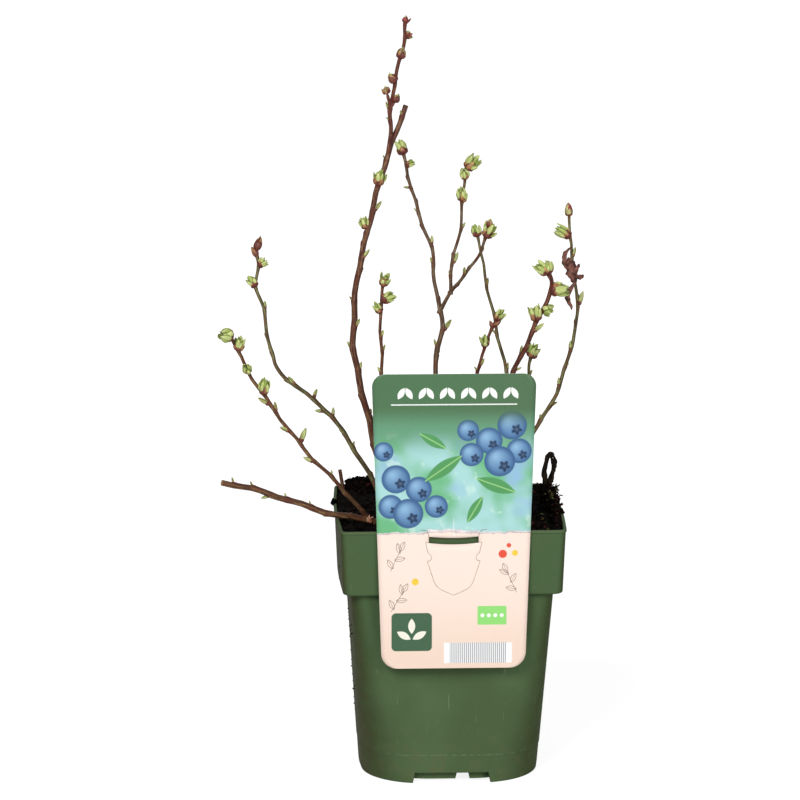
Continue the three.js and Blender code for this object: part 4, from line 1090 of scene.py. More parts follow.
class LeafHeap:
    """Collects leaves of one kind: foot, axis, direction away from the axis, and sizes."""

    def __init__(self, blunt=0.7, ripple=0.0, plump=0.07, widest=0.85, bulge=0.8):
        self.rows = []
        self.blunt, self.ripple, self.plump, self.widest, self.bulge = blunt, ripple, plump, widest, bulge

    def add(self, foot, axis, away, length, width, belly, flare, tone, cup=0.6):
        self.rows.append([*foot, *axis, *away, length, width, belly, flare, tone, cup])

    def piece(self, name, material, slot, replaced=()):
        """One piece of all leaves, each a flat loop of points that runs up its middle line.

        At a share t of its length a leaf is belly * sin(pi t^0.8)^bulge + flare t^2 away from the axis,
        and its half width is width * sin(pi t^widest)^blunt. It is as thick as a share plump of that.
        Round its loop, the edges bend back to the axis, and a ripple runs along them.
        """
        data = np.array(self.rows)[:, None, None]
        foot, axis, away = data[..., 0:3], data[..., 3:6], data[..., 6:9]
        length, width, belly, flare, tone, cup = (data[..., i, None] for i in range(9, 15))
        t = np.linspace(0.02, 0.99, LEAF_ROWS)[None, :, None, None]
        phi = -(np.arange(LEAF_COLUMNS) + 0.5)[None, None, :, None] * 2 * math.pi / LEAF_COLUMNS
        out = belly * np.sin(math.pi * t**0.8) ** self.bulge + flare * t**2
        half = width * np.sin(math.pi * t**self.widest) ** self.blunt
        thick = self.plump * half + 0.06
        inward = cup * half * np.cos(phi) ** 2
        wave = self.ripple * width * np.cos(phi) * np.sin(5 * math.pi * t + 9 * tone)
        rings = foot + axis * (length * t) + away * (out - inward + wave + thick * np.sin(phi))
        rings = rings + np.cross(axis, away) * (half * np.cos(phi))
        ones = np.ones(rings.shape[:3])
        values = {"tip": t, "tone": tone, "edge": np.abs(np.cos(phi))}
        carried = {key: skin_numbers(value[..., 0] * ones) for key, value in values.items()}
        return make_piece(name, skin(rings), [material], slot, replaced, smooth=70, **carried)


def side_frame(axis, along):
    """Two directions square to a bud's axis and to each other."""
    side = np.cross(axis, along)
    if np.linalg.norm(side) < 0.05:
        side = np.cross(axis, [0.2, 1.0, 0.1])
    side = unit(side)
    return side, np.cross(axis, side)


brown_scales = LeafHeap(0.55, bulge=0.55)
green_leaves = LeafHeap(0.6, 0.15, 0.36, 1.2)
closed_leaves = LeafHeap(0.8)
print("points in one leaf:", LEAF_ROWS * LEAF_COLUMNS + 2)

# %% Coats of scales and leaflets
def leaning(along, outward, degrees):
    """A direction that leans by some degrees from along towards outward."""
    angle = math.radians(degrees)
    return unit(along * math.cos(angle) + outward * math.sin(angle))


def around(axis, along, turn, number):
    """The direction away from the axis for a leaf's number, one golden angle after the last one."""
    side, other = side_frame(axis, along)
    angle = turn + number * GOLDEN_ANGLE + random.normal(0, 0.15)
    return side * math.cos(angle) + other * math.sin(angle)


def add_coats(foot, axis, along, size, coats):
    """Coats of scales round a bud. Each row gives a heap, a count, and sizes as shares of the bud's."""
    turn = random.uniform(0, 2 * math.pi)
    number = 0
    for heap, count, length, width, belly, flare, tone in coats:
        for _ in range(count):
            vary = random.uniform(0.88, 1.1)
            heap.add(foot, axis, around(axis, along, turn, number), size * length * vary, size * width,
                     size * belly * vary, size * flare, tone + random.normal(0, 0.1))
            number += 1


def add_leaflets(foot, axis, along, size, rows):
    """Plump young leaves, still rolled up, that each lean away from the bud's axis on their own."""
    turn = random.uniform(0, 2 * math.pi)
    number = 0
    for count, least, most, length, width, swell, tone in rows:
        for _ in range(count):
            away = around(axis, along, turn, number)
            tilt = math.radians(random.uniform(least, most))
            own_axis = axis * math.cos(tilt) + away * math.sin(tilt)
            own_away = away * math.cos(tilt) - axis * math.sin(tilt)
            base = foot + away * (0.05 * size) + axis * (0.06 * size)
            green_leaves.add(base, own_axis, own_away, size * length * random.uniform(0.85, 1.12),
                             size * width * random.uniform(0.9, 1.1), size * swell,
                             size * random.uniform(-0.05, 0.12),
                             np.clip(tone + random.normal(0, 0.15), 0, 1),
                             random.uniform(0.4, 0.7))
            number += 1


print("golden angle:", round(math.degrees(GOLDEN_ANGLE), 1), "degrees")

# %% Opening buds
OPEN_KINDS = {  # how far the leaflets lean away, times the usual, and how wide the bud is
    "ball": (0.15, 1.0), "bowl": (0.25, 1.25), "tulip": (0.6, 1.0), "slim": (0.5, 0.72), "leafy": (1.0, 1.0),
}
EGG_KINDS = {  # half the width, the first coat's length, the tones of three coats, and the coat at the tip
    "split": (0.42, 0.76, (0, 0.2, 1.0), (closed_leaves, 4, 1.07, 0.22, 0.21, 0.04, 0.95)),
    "red": (0.42, 0.76, (0, -0.6, -0.6), (closed_leaves, 4, 1.07, 0.22, 0.21, 0.04, 0.95)),
    "brown": (0.25, 0.76, (0.1, 0.4, 0.7), (closed_leaves, 2, 1.0, 0.1, 0.1, 0.03, 0.3)),
    "egg": (0.29, 0.4, (0.3, 1.6, 1.6), (brown_scales, 4, 1.0, 0.8 * 0.29, 1.02 * 0.29, 0, -0.6)),
}
STALKS = []


def add_egg(foot, axis, along, size, kind):
    """A bud that has only split: three coats of scales, and the tips of leaves that show between them."""
    belly, first_length, tones, tip = EGG_KINDS[kind]
    add_coats(foot, axis, along, size, [
        (brown_scales, 5, first_length, 0.72 * belly, 1.05 * belly, 0, tones[0]),
        (brown_scales, 4, 0.82, 0.85 * belly, belly, 0, tones[1]),
        (brown_scales, 4, 0.95, 0.8 * belly, 0.92 * belly, 0, tones[2]), tip,
    ])


def add_open(foot, axis, along, size, spread, wide=1.0):
    """A bud that has opened: a cup of scales with leaflets in it. The outer ones lean out the most."""
    swell = (0.1 + 0.2 * (1 - spread)) * wide
    add_coats(foot, axis, along, size, [
        (brown_scales, 5, 0.46, 0.27 * wide, 0.32 * wide, 0.02, 0.1),
        (brown_scales, 4, 0.64, 0.21 * wide, 0.33 * wide, 0.06, 0.75),
    ])
    add_leaflets(foot, axis, along, size, [
        (3, 16 * spread, 34 * spread * wide, 0.74, 0.18 * wide, swell, 0.8),
        (4, 8 * spread, 22 * spread * wide, 0.9, 0.165 * wide, swell, 0.6),
        (4, 1, 7, 0.84, 0.13 * wide, 0.05, 0.15),
    ])


def add_rosette(foot, axis, along, size):
    """A bud seen wide open: broad leaflets whose tips bend in over a closed middle."""
    add_coats(foot, axis, along, size, [(brown_scales, 6, 0.36, 0.26, 0.3, 0.06, 0.2)])
    add_leaflets(foot, axis, along, size, [
        (4, 26, 36, 0.82, 0.26, 0.2, 0.85), (4, 10, 18, 0.8, 0.2, 0.14, 0.6),
        (4, 1, 8, 0.74, 0.15, 0.05, 0.3),
    ])


def opening_bud(shoot, share, degrees, lean, size, stalk=0, kind="leafy"):
    """A bud of one kind, whose axis leans out from the shoot. A long stalk becomes a twig."""
    distance = share * shoot.length
    place, along, right, _ = (part[0] for part in shoot.frame(distance))
    axis = leaning(along, shoot.outward(distance, degrees), lean)
    if stalk:
        STALKS.append((place, axis, stalk + 0.1 * size))
    foot = place + axis * (stalk - 0.04 * size)
    if kind == "cluster":
        for i in range(4):
            own_axis = leaning(axis, around(axis, along, 0.6, i), 42 if i else 8)
            own_kind = "red" if i == 0 and not stalk else "split"
            add_egg(foot + axis * 0.2 * size, own_axis, along, 0.62 * size, own_kind)
    elif kind == "pair":
        add_open(foot, leaning(axis, -right, 14), along, 0.92 * size, 0.9)
        add_open(foot, leaning(axis, right, 32), along, 0.7 * size, 0.2)
    elif kind == "rosette":
        add_rosette(foot, axis, along, size)
    elif kind in OPEN_KINDS:
        add_open(foot, axis, along, size, *OPEN_KINDS[kind])
    else:
        add_egg(foot, axis, along, size, kind)


for shoot in plant.values():
    for bud in shoot.opening:
        opening_bud(shoot, *bud)
print("brown scales:", len(brown_scales.rows), "green leaflets:", len(green_leaves.rows))

# %% [markdown]
# Further down a shoot the buds are still closed: small cones that lie close to the bark, each with
# brown scales at its foot and paler ones that meet at its tip. They use the same leaves as the rest.

# %% Closed buds
CLOSED_LEAVES = 8
CLOSED_SCALES = 5
LARGE_BUD = 4.2


def closed_bud(shoot, distance, degrees, lean, length, dry=None):
    """A slim pointed bud: brown scales at its foot and paler ones that close over its tip.

    A dry one is a thin dark spur.
    """
    outward = shoot.outward(distance, degrees)
    place, along, _, _ = (part[0] for part in shoot.frame(distance))
    foot = place + outward * shoot.radius(distance) * 0.6
    axis = leaning(along, outward, lean)
    side, other = side_frame(axis, along)
    turn = random.uniform(0, 2 * math.pi)
    pale = random.uniform(0.5, 1) if length > LARGE_BUD else random.uniform(0.1, 0.7)
    for i in range(CLOSED_LEAVES):
        angle = turn + i * GOLDEN_ANGLE
        away = side * math.cos(angle) + other * math.sin(angle)
        if dry:
            brown_scales.add(foot, axis, away, length, length * 0.1, length * 0.12, 0, 0)
        elif i < CLOSED_SCALES:
            brown_scales.add(foot, axis, away, length * (0.34 + 0.05 * i), length * 0.18, length * 0.19,
                             0, random.uniform(0, 0.7))
        else:
            closed_leaves.add(foot, axis, away, length * random.uniform(1.04, 1.2), length * 0.2,
                              length * 0.18, 0.03 * length, np.clip(pale + random.normal(0, 0.1), 0, 1))


for name, found in closed_buds.items():
    for bud in found:
        closed_bud(plant[name], *bud)
print("brown scales:", len(brown_scales.rows), "closed leaves:", len(closed_leaves.rows))

# %% [markdown]
# The leaflets are soft and matt, paler where they are young, with painted shade along their edges,
# where they overlap, and a cream or brownish tip. The scales are glossier, orange-brown in the middle
# and dark red at the edge. The colours are dealt out by each leaf's own tone, place and edge.

# %% Bud materials
def leaf_finish(name, deep, young, fold, tip_colour, foot_colour):
    """Soft leaf skin: two greens by tone, darker edges and foot, and a paler tip."""
    leaf = Finish(name, deep, shine=0.2)
    tip, tone, edge = (leaf.carried(key) for key in ("tip", "tone", "edge"))
    leaf.coat(tone.step(0.1, 0.9), young)
    leaf.coat(leaf.cloud(2.2, 2).step(0.4, 0.62) * 0.3, deep)
    leaf.coat(tip.step(0.45, 0.1) * 0.5, foot_colour)
    # painted shade: each leaf's edges, where leaves overlap, are darkened with the colour fold
    leaf.coat(edge.step(0.6, 0.95) * 0.8, fold)
    leaf.coat(tip.step(0.85, 0.98) * leaf.cloud(3, 1).step(0.4, 0.56) * 0.5, tip_colour)
    return leaf.finish(leaf.cloud(1, 2) * 0.2 + 0.45, leaf.cloud(0.5, 2), 0.05)


leaf_green = leaf_finish("yellow_green_leaflets", (150, 172, 82), (214, 221, 148), (112, 132, 54),
                         (226, 222, 178), (120, 132, 60))
closed_green = leaf_finish("closed_bud_leaves", (132, 122, 66), (192, 202, 132), (100, 88, 46),
                           (230, 222, 178), (116, 84, 48))

scale = Finish("brown_bud_scales", (112, 46, 34), shine=0.5)
tip, tone, edge = (scale.carried(key) for key in ("tip", "tone", "edge"))
scale.coat(tone.step(0.1, 0.9), (186, 132, 84))
scale.coat(tone.step(0.5, 0.8) * tip.step(0.45, 0.9) * 0.7, (204, 182, 118))
scale.coat(edge.step(0.35, 0.85) * 0.9, (90, 30, 28))
scale.coat(tone.step(1.1, 1.3) * edge.step(1.0, 0.6), (206, 204, 136))
scale.coat(tone.step(-0.3, -0.4) * tip.step(0.3, 0.6), (158, 62, 56))
scale.coat(tone.step(1.1, 1.3) * tip.step(0.6, 0.95) * 0.7, (168, 60, 56))
scale.coat(scale.cloud(0.8).step(0.4, 0.65) * 0.5, (76, 36, 26))
scale_brown = scale.finish(scale.cloud(1, 2) * 0.2 + 0.35, scale.cloud(0.3, 2), 0.08)

sprays = [shoot.spray[0] for shoot in plant.values() if shoot.spray]
brown_scales.piece("bud_scales", scale_brown, "buds", sprays)
green_leaves.piece("bud_leaflets", leaf_green, "buds", sprays)
closed_leaves.piece("closed_buds", closed_green, "buds")

# %% [markdown]
# Moss and torn flakes of peat gather along the rim, where watering leaves them. A flake is a small
# leaf from the same formula, with a strong ripple, and it points up and out a little.

# %% Moss and peat flakes
FLAKE_HEAPS = [  # middle, spread, how many, size, how much they point up and out
    ((65, 38, 154), (1.3, 2.6, 1.3), 120, 3.2, (0.5, 0, 0.3)),
    ((-44, 57, 155.5), (7, 4, 1.2), 110, 2.4, (0, 0, 0.7)),
    ((62.5, 8, 153.5), (1.4, 17, 1.4), 170, 2.6, (0.45, 0, 0.4)),
    ((55, 50, 154), (4, 5, 1.0), 60, 2.4, (0, 0, 0.6)),
]
flakes = LeafHeap(0.8, 0.6)
for middle, spread, count, size, bias in FLAKE_HEAPS:
    for place in random.normal(middle, spread, (count, 3)):
        axis = unit(random.normal(0, 0.7, 3) + bias)
        away = unit(np.cross(axis, random.normal(0, 1, 3)))
        long = size * random.uniform(0.4, 1.1)
        flakes.add(place, axis, away, long, 0.16 * long, 0.08 * long, 0.3 * long * random.uniform(-1, 1),
                   random.uniform(0, 1))
flakes.piece("peat_flakes", crumb_brown, "peat")

# %% [markdown]
# A few opening buds stand on a short twig of their own. A twig is a straight thread of even
# thickness, in the bark of the red-brown shoots.

# %% The twigs that carry a bud
TWIG_RADIUS = 0.95


def plain_bark(points):
    """Bark numbers for a part without ledges or cut ends, whose bark follows its place."""
    return dict(bark_place=points, ledge=np.zeros(len(points)), cut=np.zeros(len(points)))


starts, ways, lengths = (np.array(values) for values in zip(*STALKS))
twigs = skin(threads(starts, ways, lengths, np.full(len(lengths), TWIG_RADIUS), 0.0, 9, 12, 12))
make_piece("bud_twigs", twigs, [barks["red_brown_bark"]], "red_bark", **plain_bark(twigs[0]))

# %% [markdown]
# ## The withered leaf
# One of last year's leaves still hangs beside the right green shoot, dry, torn and rolled up. It is a
# grid across and along a hanging line. Its half width follows a few ragged lobes, it rolls up towards
# its edges, and random bumps crumple it. A thin Solidify gives it two faces.

# %% Withered leaf
LEAF_PARTS = [  # bend points, width, turn at the stalk and at the tip, how far it rolls, seed, rows, columns
    ([(74, 33, 301.5), (71.8, 32, 298.5), (71, 31, 295), (71.6, 30, 291), (73, 29, 288)], 3.2,
     (0.4, 0.9), 1.5, 2, 30, 13),
    ([(72, 30, 296), (73.4, 28.5, 291.5), (75, 27, 286.5), (76.4, 25.5, 281)], 7.8,
     (-0.3, 0.5), 0.7, 3, 48, 17),
    ([(75, 27, 289), (77, 26.5, 290.5), (78.6, 26, 293)], 2.6, (0.5, 0.8), 0.6, 6, 16, 9),
    ([(75.8, 26, 285), (78.6, 25, 285.2), (81.2, 24, 286.4)], 3.2, (0.2, 0.9), 0.6, 5, 18, 9),
    ([(76, 25, 282), (74.4, 24.5, 278), (72.4, 24, 274), (72.2, 24, 270), (74.3, 23.5, 266)], 3.6,
     (1.0, -0.4), 1.6, 8, 34, 13),
]
DEAD_LEAF_THICKNESS = 0.25


def dead_leaf(bends, width, turn, roll, seed, rows, columns):
    """A leaf along a curve: across it, a point moves out by its half width and curls by its square."""
    curve = smooth_curve(bends, rows)
    along = unit(np.gradient(curve, axis=0))
    t = np.linspace(0, 1, rows)
    lobes = 1 + 0.45 * np.sin(t * 19 + seed) + 0.3 * np.sin(t * 37 + 2 * seed)
    half = width * (0.06 + np.sin(math.pi * t) ** 0.7 * (0.62 + 0.28 * lobes)) / 2
    s = np.linspace(-1, 1, columns)
    angle = np.interp(t, [0, 1], turn)
    base = unit(np.cross(along, [0.0, 1.0, 0.2]))
    other = np.cross(base, along)
    side = base * np.cos(angle)[:, None] + other * np.sin(angle)[:, None]
    face = np.cross(side, along)[:, None]
    side = side[:, None]
    curl = roll * (s**2)[None, :] * half[:, None]
    grid = curve[:, None] + side * (half[:, None] * np.sin(s * 1.1)[None, :])[..., None]
    grid = grid + face * curl[..., None]
    crumple = bumps(grid[..., 0], grid[..., 1], grid[..., 2], 2.4, seed)[..., None]
    grid = grid + face * (0.7 * crumple) + side * (0.35 * crumple)
    return grid.reshape(-1, 3), [strip_faces(rows, columns, wrap=False)]


def joined(parts):
    """One body from several: the faces of each count on from the points before it."""
    shifts = np.cumsum([0] + [len(points) for points, _ in parts])
    faces = [rows + shift for (_, kinds), shift in zip(parts, shifts) for rows in kinds]
    return np.concatenate([points for points, _ in parts]), faces


papery = Finish("withered_leaf_skin", (134, 86, 72))
papery.coat(papery.cloud(3, 4).step(0.35, 0.65), (66, 38, 32))
papery.coat(papery.cloud(1.2, 4).step(0.55, 0.7) * 0.6, (150, 106, 86))
veins = papery.cloud(0.7, 3, papery.stretched((1, 1, 0.25)))
papery_brown = papery.finish(papery.cloud(2, 2) * 0.3 + 0.5, veins, 0.25)
torn_leaf = joined([dead_leaf(*part) for part in LEAF_PARTS])
dead = make_piece("withered_leaf_sheet", torn_leaf, [papery_brown], "withered", ["withered_leaf"], smooth=60)
sheet = dead.modifiers.new("sheet", "SOLIDIFY")
sheet.thickness = DEAD_LEAF_THICKNESS * MM
sheet.offset = 0

# %% [markdown]
# Behind it on the right stands a dead shoot that the frost bent over. Its bark has frayed into
# strands. Each strand is a tube that winds round the shoot's middle line, thicker and thinner.

# %% Withered shoot
STRANDS = 6
STRAND_COLUMNS = 8
FRAYS = 26
bent = smooth_curve([(61.2, 51, 146), (61.4, 53, 156), (60.8, 54, 164), (63, 54, 171.8), (65.2, 54, 172.4),
                     (66.6, 53, 167), (65, 52.6, 160), (63, 52, 152), (62.8, 52, 147)], 120)
along = unit(np.gradient(bent, axis=0))
side = unit(np.cross([0, 1.0, 0], along))
other = np.cross(side, along)
ring = circle(side, other, -np.arange(STRAND_COLUMNS) * 2 * math.pi / STRAND_COLUMNS)
share = np.linspace(0, 1, len(bent))
strands = []
for i in range(STRANDS):
    wind = 2 * math.pi * (i / STRANDS + 1.6 * share) + 0.8 * bumps(share * 12, i, 0, 1.0, 31)
    off = 0.95 + 0.35 * bumps(share * 16, i, 5, 1.0, 32)
    middle = bent + (side * np.cos(wind)[:, None] + other * np.sin(wind)[:, None]) * off[:, None]
    thick = 0.76 + 0.3 * bumps(share * 22, i, 9, 1.0, 33)
    strands.append(middle[:, None] + ring * thick[:, None, None])
at = random.integers(8, len(bent) - 8, FRAYS)
way = unit(random.normal(0, 1, (FRAYS, 3)) + [0, 0, 0.3])
frays = threads(bent[at], way, random.uniform(1.2, 2.6, FRAYS), random.uniform(0.1, 0.25, FRAYS))
loop = joined([skin(np.array(strands)), skin(frays)])
make_piece("withered_shoot_strands", loop, [bark_of["withered_shoot"]], "withered", ["withered_shoot"],
           smooth=60, **plain_bark(loop[0]))

# %% [markdown]
# ## The card label
# The label is one sheet of printed card with a slot, hung over the rim by a tongue. The sheet is a
# grid whose rows follow the card's own width, so its round corners come from the same formula, and
# the cells of the slot are left out. Solidify makes it 0.6 mm thick, with bare white card at its cut
# edges.

# %% The card's sheet
CARD_TOP = 244.6
CARD_FOOT = 73.0
CARD_TOP_HALF = 46.8
CARD_FOOT_HALF = 41.2
CARD_TOP_CORNER = 7.5
CARD_FOOT_CORNER = 9.0
CARD_FRONT = -66.3
CARD_THICKNESS = 0.6
SLOT_HALF = 14.2
SLOT_FOOT = 146.6
SLOT_TOP = 150.4
SLOT_SAG = 0.9
SLOT_REACH = 12  # how far above and below the slot the rows follow its bow
GRID_HALF = 44


def card_half(z):
    """Half the card's width: an even taper, less a quarter circle at each corner."""
    half = np.interp(z, [CARD_FOOT, CARD_TOP], [CARD_FOOT_HALF, CARD_TOP_HALF])
    for corner, radius in ((CARD_FOOT, CARD_FOOT_CORNER), (CARD_TOP, CARD_TOP_CORNER)):
        into = np.clip(radius - np.abs(z - corner), 0, radius)
        half = half - (radius - np.sqrt(radius**2 - into**2))
    return half


bend = 1 - np.sin(np.linspace(0, math.pi / 2, 12))
rows = np.unique(np.concatenate([
    CARD_FOOT + CARD_FOOT_CORNER * bend, np.linspace(82, 237, 32), CARD_TOP - CARD_TOP_CORNER * bend,
    [SLOT_FOOT, SLOT_TOP],
]))
beside_slot = np.linspace(GRID_HALF, SLOT_HALF, 10)
across = np.concatenate([-beside_slot, np.linspace(-SLOT_HALF, SLOT_HALF, 9)[1:-1], beside_slot[::-1]])
stretch = (card_half(rows)[:, None] - SLOT_HALF) / (GRID_HALF - SLOT_HALF)
outer = np.sign(across) * (SLOT_HALF + (np.abs(across) - SLOT_HALF) * stretch)
x = np.where(np.abs(across) <= SLOT_HALF, across, outer)
slot_rows = [SLOT_FOOT - SLOT_REACH, SLOT_FOOT, SLOT_TOP, SLOT_TOP + SLOT_REACH]
near_slot = np.interp(rows, slot_rows, [0, 1, 1, 0])
bow = np.clip(1 - (x / SLOT_HALF) ** 2, 0, 1) * near_slot[:, None]
z = rows[:, None] - SLOT_SAG * bow
card_points = np.stack([x, np.full(x.shape, CARD_FRONT), z], -1).reshape(-1, 3)
card_faces = strip_faces(len(rows), len(across), wrap=False)
flat = np.stack([x, np.broadcast_to(rows[:, None], x.shape)], -1).reshape(-1, 2)[card_faces].mean(axis=1)
slot = (np.abs(flat[:, 0]) < SLOT_HALF) & (flat[:, 1] > SLOT_FOOT) & (flat[:, 1] < SLOT_TOP)
print("cells left out for the slot:", int(slot.sum()))

# %% [markdown]
# The print is generic: a green heading fades into a soft field of leaf green, sky and round blue
# spots, as of berries out of focus, with plain leaves. A torn paper edge runs across it, and below it
# the card is cream with thin drawn sprigs, a dark green badge, a light green panel and a white panel
# of ruled lines. There are no words on it. Every motif is a formula in the card's own two directions.

# %% The printed motifs
card = Finish("printed_card", (172, 218, 216), shine=0.2)
cx, _, cz = card.millimetres()


def disc(x, z, radius, soft=0.25):
    """1 inside a circle about x and z."""
    return pythagoras(cx - x, cz - z).step(radius + soft, radius - soft)


def crown(x, z, radius):
    """A star of five soft rays: a disc whose radius swings by a third, five times round."""
    rays = ((cx - x).calculate("ARCTAN2", cz - z) * 5.0 + x).calculate("COSINE") * (radius * 0.3) + radius
    return (pythagoras(cx - x, cz - z) - rays).step(0.3, -0.3)


def turned(x, z, degrees):
    """The card's coordinates about a point, turned."""
    a = math.radians(degrees)
    dx, dz = cx - x, cz - z
    return dx * math.cos(a) + dz * math.sin(a), dz * math.cos(a) - dx * math.sin(a)


def leaf_height(x, z, degrees, length, width):
    """Above 0 inside a pointed leaf: width * (1 - (2 u / length)^2) / 2 less the distance from its rib."""
    u, v = turned(x, z, degrees)
    return (u * u * (-4 / length**2) + 1.0) * (width / 2) - v.abs(), v


def leaf_filled(x, z, degrees, length, width):
    """1 inside a pointed leaf."""
    return leaf_height(x, z, degrees, length, width)[0].step(-0.12, 0.12)


def leaf_drawn(x, z, degrees, length, width, line=0.22):
    """The outline of a leaf and its rib, as a thin pen line."""
    height, v = leaf_height(x, z, degrees, length, width)
    rib = v.abs().step(line * 0.8, line * 0.3) * height.step(0.0, 0.2)
    return height.abs().step(line, line * 0.4).most(rib)


def panel(x, z, half_x, half_z, corner, soft=0.2):
    """1 inside a rectangle with round corners."""
    dx = ((cx - x).abs() - (half_x - corner)).most(0.0)
    dz = ((cz - z).abs() - (half_z - corner)).most(0.0)
    return pythagoras(dx, dz).step(corner + soft, corner - soft)


print("nodes before the print:", len(card.tree.nodes))

# %% The field with its blue spots
BLUE_SPOTS = [  # x, z, radius
    (33, 215, 8.4), (20, 206, 7.6), (37, 200, 7.2), (26, 194, 8.8), (8, 212, 6.2), (10, 198, 6.8),
    (-33, 184, 8.2), (-20, 178, 7.4), (-36, 168, 7.0), (-26, 164, 8.6), (-10, 168, 6.6), (-40, 200, 5.6),
]
FIELD_LEAVES = [  # x, z, degrees, length, width
    (-6, 190, 35, 26, 8), (24, 180, -20, 24, 8), (-12, 206, -30, 18, 6), (12, 166, 60, 18, 6),
]
card.coat(card.cloud(30, 2).step(0.38, 0.6), (112, 186, 134))
card.coat(card.cloud(26, 2, card.stretched((1, 1, 1), (0.3, 0, 0.1))).step(0.5, 0.68), (150, 190, 220))
card.coat(card.cloud(9, 2).step(0.62, 0.72) * 0.5, (212, 240, 226))
card.coat(cz.step(194, 214), (104, 156, 124))


def blue_spot(x, z, radius):
    """A round spot: a glow on its upper left, a darker rim, and a soft star on its lower right."""
    glow = disc(x - radius * 0.25, z + radius * 0.3, radius * 0.35, radius * 0.6)
    blue = card.blend(glow, (96, 136, 178), (150, 190, 224))
    blue = card.blend(disc(x, z, radius * 0.78, radius * 0.24), (64, 98, 142), blue)
    x, z = x + radius * 0.3, z - radius * 0.32
    blue = card.blend(disc(x, z, radius * 0.3, radius * 0.12) * 0.5, blue, (54, 78, 118))
    blue = card.blend(crown(x, z, radius * 0.3) * 0.85, blue, (38, 52, 80))
    return card.blend(disc(x, z, radius * 0.1, radius * 0.1) * 0.6, blue, (96, 122, 150))


for x, z, radius in BLUE_SPOTS:
    card.coat(disc(x, z, radius, 0.35), blue_spot(x, z, radius))
for leaf in FIELD_LEAVES:
    height, v = leaf_height(*leaf)
    card.coat(height.step(-0.3, 0.3), card.blend(v.abs().step(0.5, 0.2), (88, 156, 96), (150, 204, 132)))
heading = card.blend(cx.step(-20, 50) * 0.6, (82, 118, 84), (84, 112, 82))
card.coat(cz.step(212, 226), heading)
for x in (-30, -18, -6, 6, 18, 30):
    card.coat(leaf_filled(x, 233.5, 60, 7.5, 3.4), (246, 248, 244))
    card.coat(leaf_filled(x + 4.4, 233.5, 120, 7.5, 3.4), (246, 248, 244))
card.coat((cz - 227.0).abs().step(0.45, 0.25) * cx.abs().step(36, 35.5), (240, 244, 240))
field = card.colour
print("nodes so far in the print:", len(card.tree.nodes))

# %% The cream part and its motifs
SPRIGS = [(-33, 137, 65), (33, 124, 115), (-32, 113, 60)]  # x, z, degrees
SPRIG_LEAVES = ((-5, 55), (0, -55), (5, 40), (8.5, 0))  # how far along its twig, and degrees off it
DOTS = [  # x, z, radius, colour
    (28, 140, 2.4, (232, 88, 66)), (35, 140.5, 1.7, (244, 206, 70)), (31.5, 145, 1.3, (232, 88, 66)),
    (-22, 124, 2.0, (244, 206, 70)),
]
ink = None
for x, z, degrees in SPRIGS:
    a = math.radians(degrees)
    for along_twig, lean in SPRIG_LEAVES:
        beside = 2.2 if lean else 0
        leaf_x = x + along_twig * math.cos(a) + beside * math.cos(a + math.radians(lean))
        leaf_z = z + along_twig * math.sin(a) + beside * math.sin(a + math.radians(lean))
        drawn = leaf_drawn(leaf_x, leaf_z, degrees + lean, 6.2, 2.6)
        ink = drawn if ink is None else ink.most(drawn)
    u, v = turned(x, z, degrees)
    ink = ink.most(v.abs().step(0.2, 0.08) * u.abs().step(7.6, 7.2))

card.colour = card.blend(cz.step(130, 74), (251, 229, 217), (243, 218, 200))
card.coat(ink * 0.85, (92, 82, 74))
for x, z, radius, colour in DOTS:
    card.coat(disc(x, z, radius), colour)
card.coat(panel(-24, 94.5, 11.6, 11.2, 2.6), (72, 104, 78))
for x, z, degrees in ((-24, 98, 90), (-28.5, 92.5, 150), (-19.5, 92.5, 30)):
    card.coat(leaf_filled(x, z, degrees, 9, 4), (244, 240, 226))
card.coat(panel(22, 104, 8.3, 5.5, 0.6), (150, 224, 124))
for x in (16.5, 20.2, 23.9, 27.6):
    card.coat(disc(x, 104, 1.1), (250, 252, 246))
ruled = (cx * 0.9).calculate("FRACT").step(0.45, 0.6) * (cx - 14.0).abs().step(16.5, 16.2)
card.coat(panel(14, 82, 19.5, 6.0, 0.5), card.blend(ruled * 0.75, (250, 250, 250), (110, 112, 120)))
cream = card.colour
print("nodes with the cream part:", len(card.tree.nodes))

# %% [markdown]
# The two parts of the print meet at a torn paper edge. It is a height that two noise patterns push up
# and down: above it lies the field, below it the cream part, and a thin band of torn paper between.

# %% The torn edge, and the whole card
tear = cz + card.cloud(4) * 3.4 + card.cloud(15, 1) * 3.0
torn = card.blend(card.cloud(5).step(0.35, 0.65), (240, 232, 232), (206, 196, 200))
above_slot = cx.abs().step(16, 14) * 1.2
card.colour = field
card.coat((tear - above_slot).step(156.4, 156.1), torn)
card.coat(tear.step(155.7, 155.4), cream)
card.coat((tear - 155.5).abs().step(0.35, 0.1) * 0.45, (120, 104, 110))
# painted highlight: a faint white line down the middle above the slot, where the card is creased; the sheet
# itself is flat
crease_highlight = cx.abs().step(0.35, 0.1) * cz.step(149.5, 151) * cz.step(163, 158)
card.coat(crease_highlight * 0.6, (250, 250, 250))
card_print = card.finish(card.cloud(8) * 0.1 + 0.3, card.cloud(0.7, 2), 0.01)

plain = Finish("bare_card", (247, 246, 242))
plain.coat(plain.cloud(2, 4).step(0.3, 0.7), (234, 232, 226))
bare_card = plain.finish(plain.cloud(1, 2) * 0.2 + 0.5, plain.cloud(0.3), 0.03)
label = make_piece("card_label", (card_points, [card_faces[~slot]]), [card_print, bare_card], "card",
                   ["label_card"], smooth=30)
body = label.modifiers.new("card", "SOLIDIFY")
body.thickness = CARD_THICKNESS * MM
body.offset = -1
body.material_offset = 1
body.material_offset_rim = 1
print("nodes in the print:", len(card.tree.nodes))
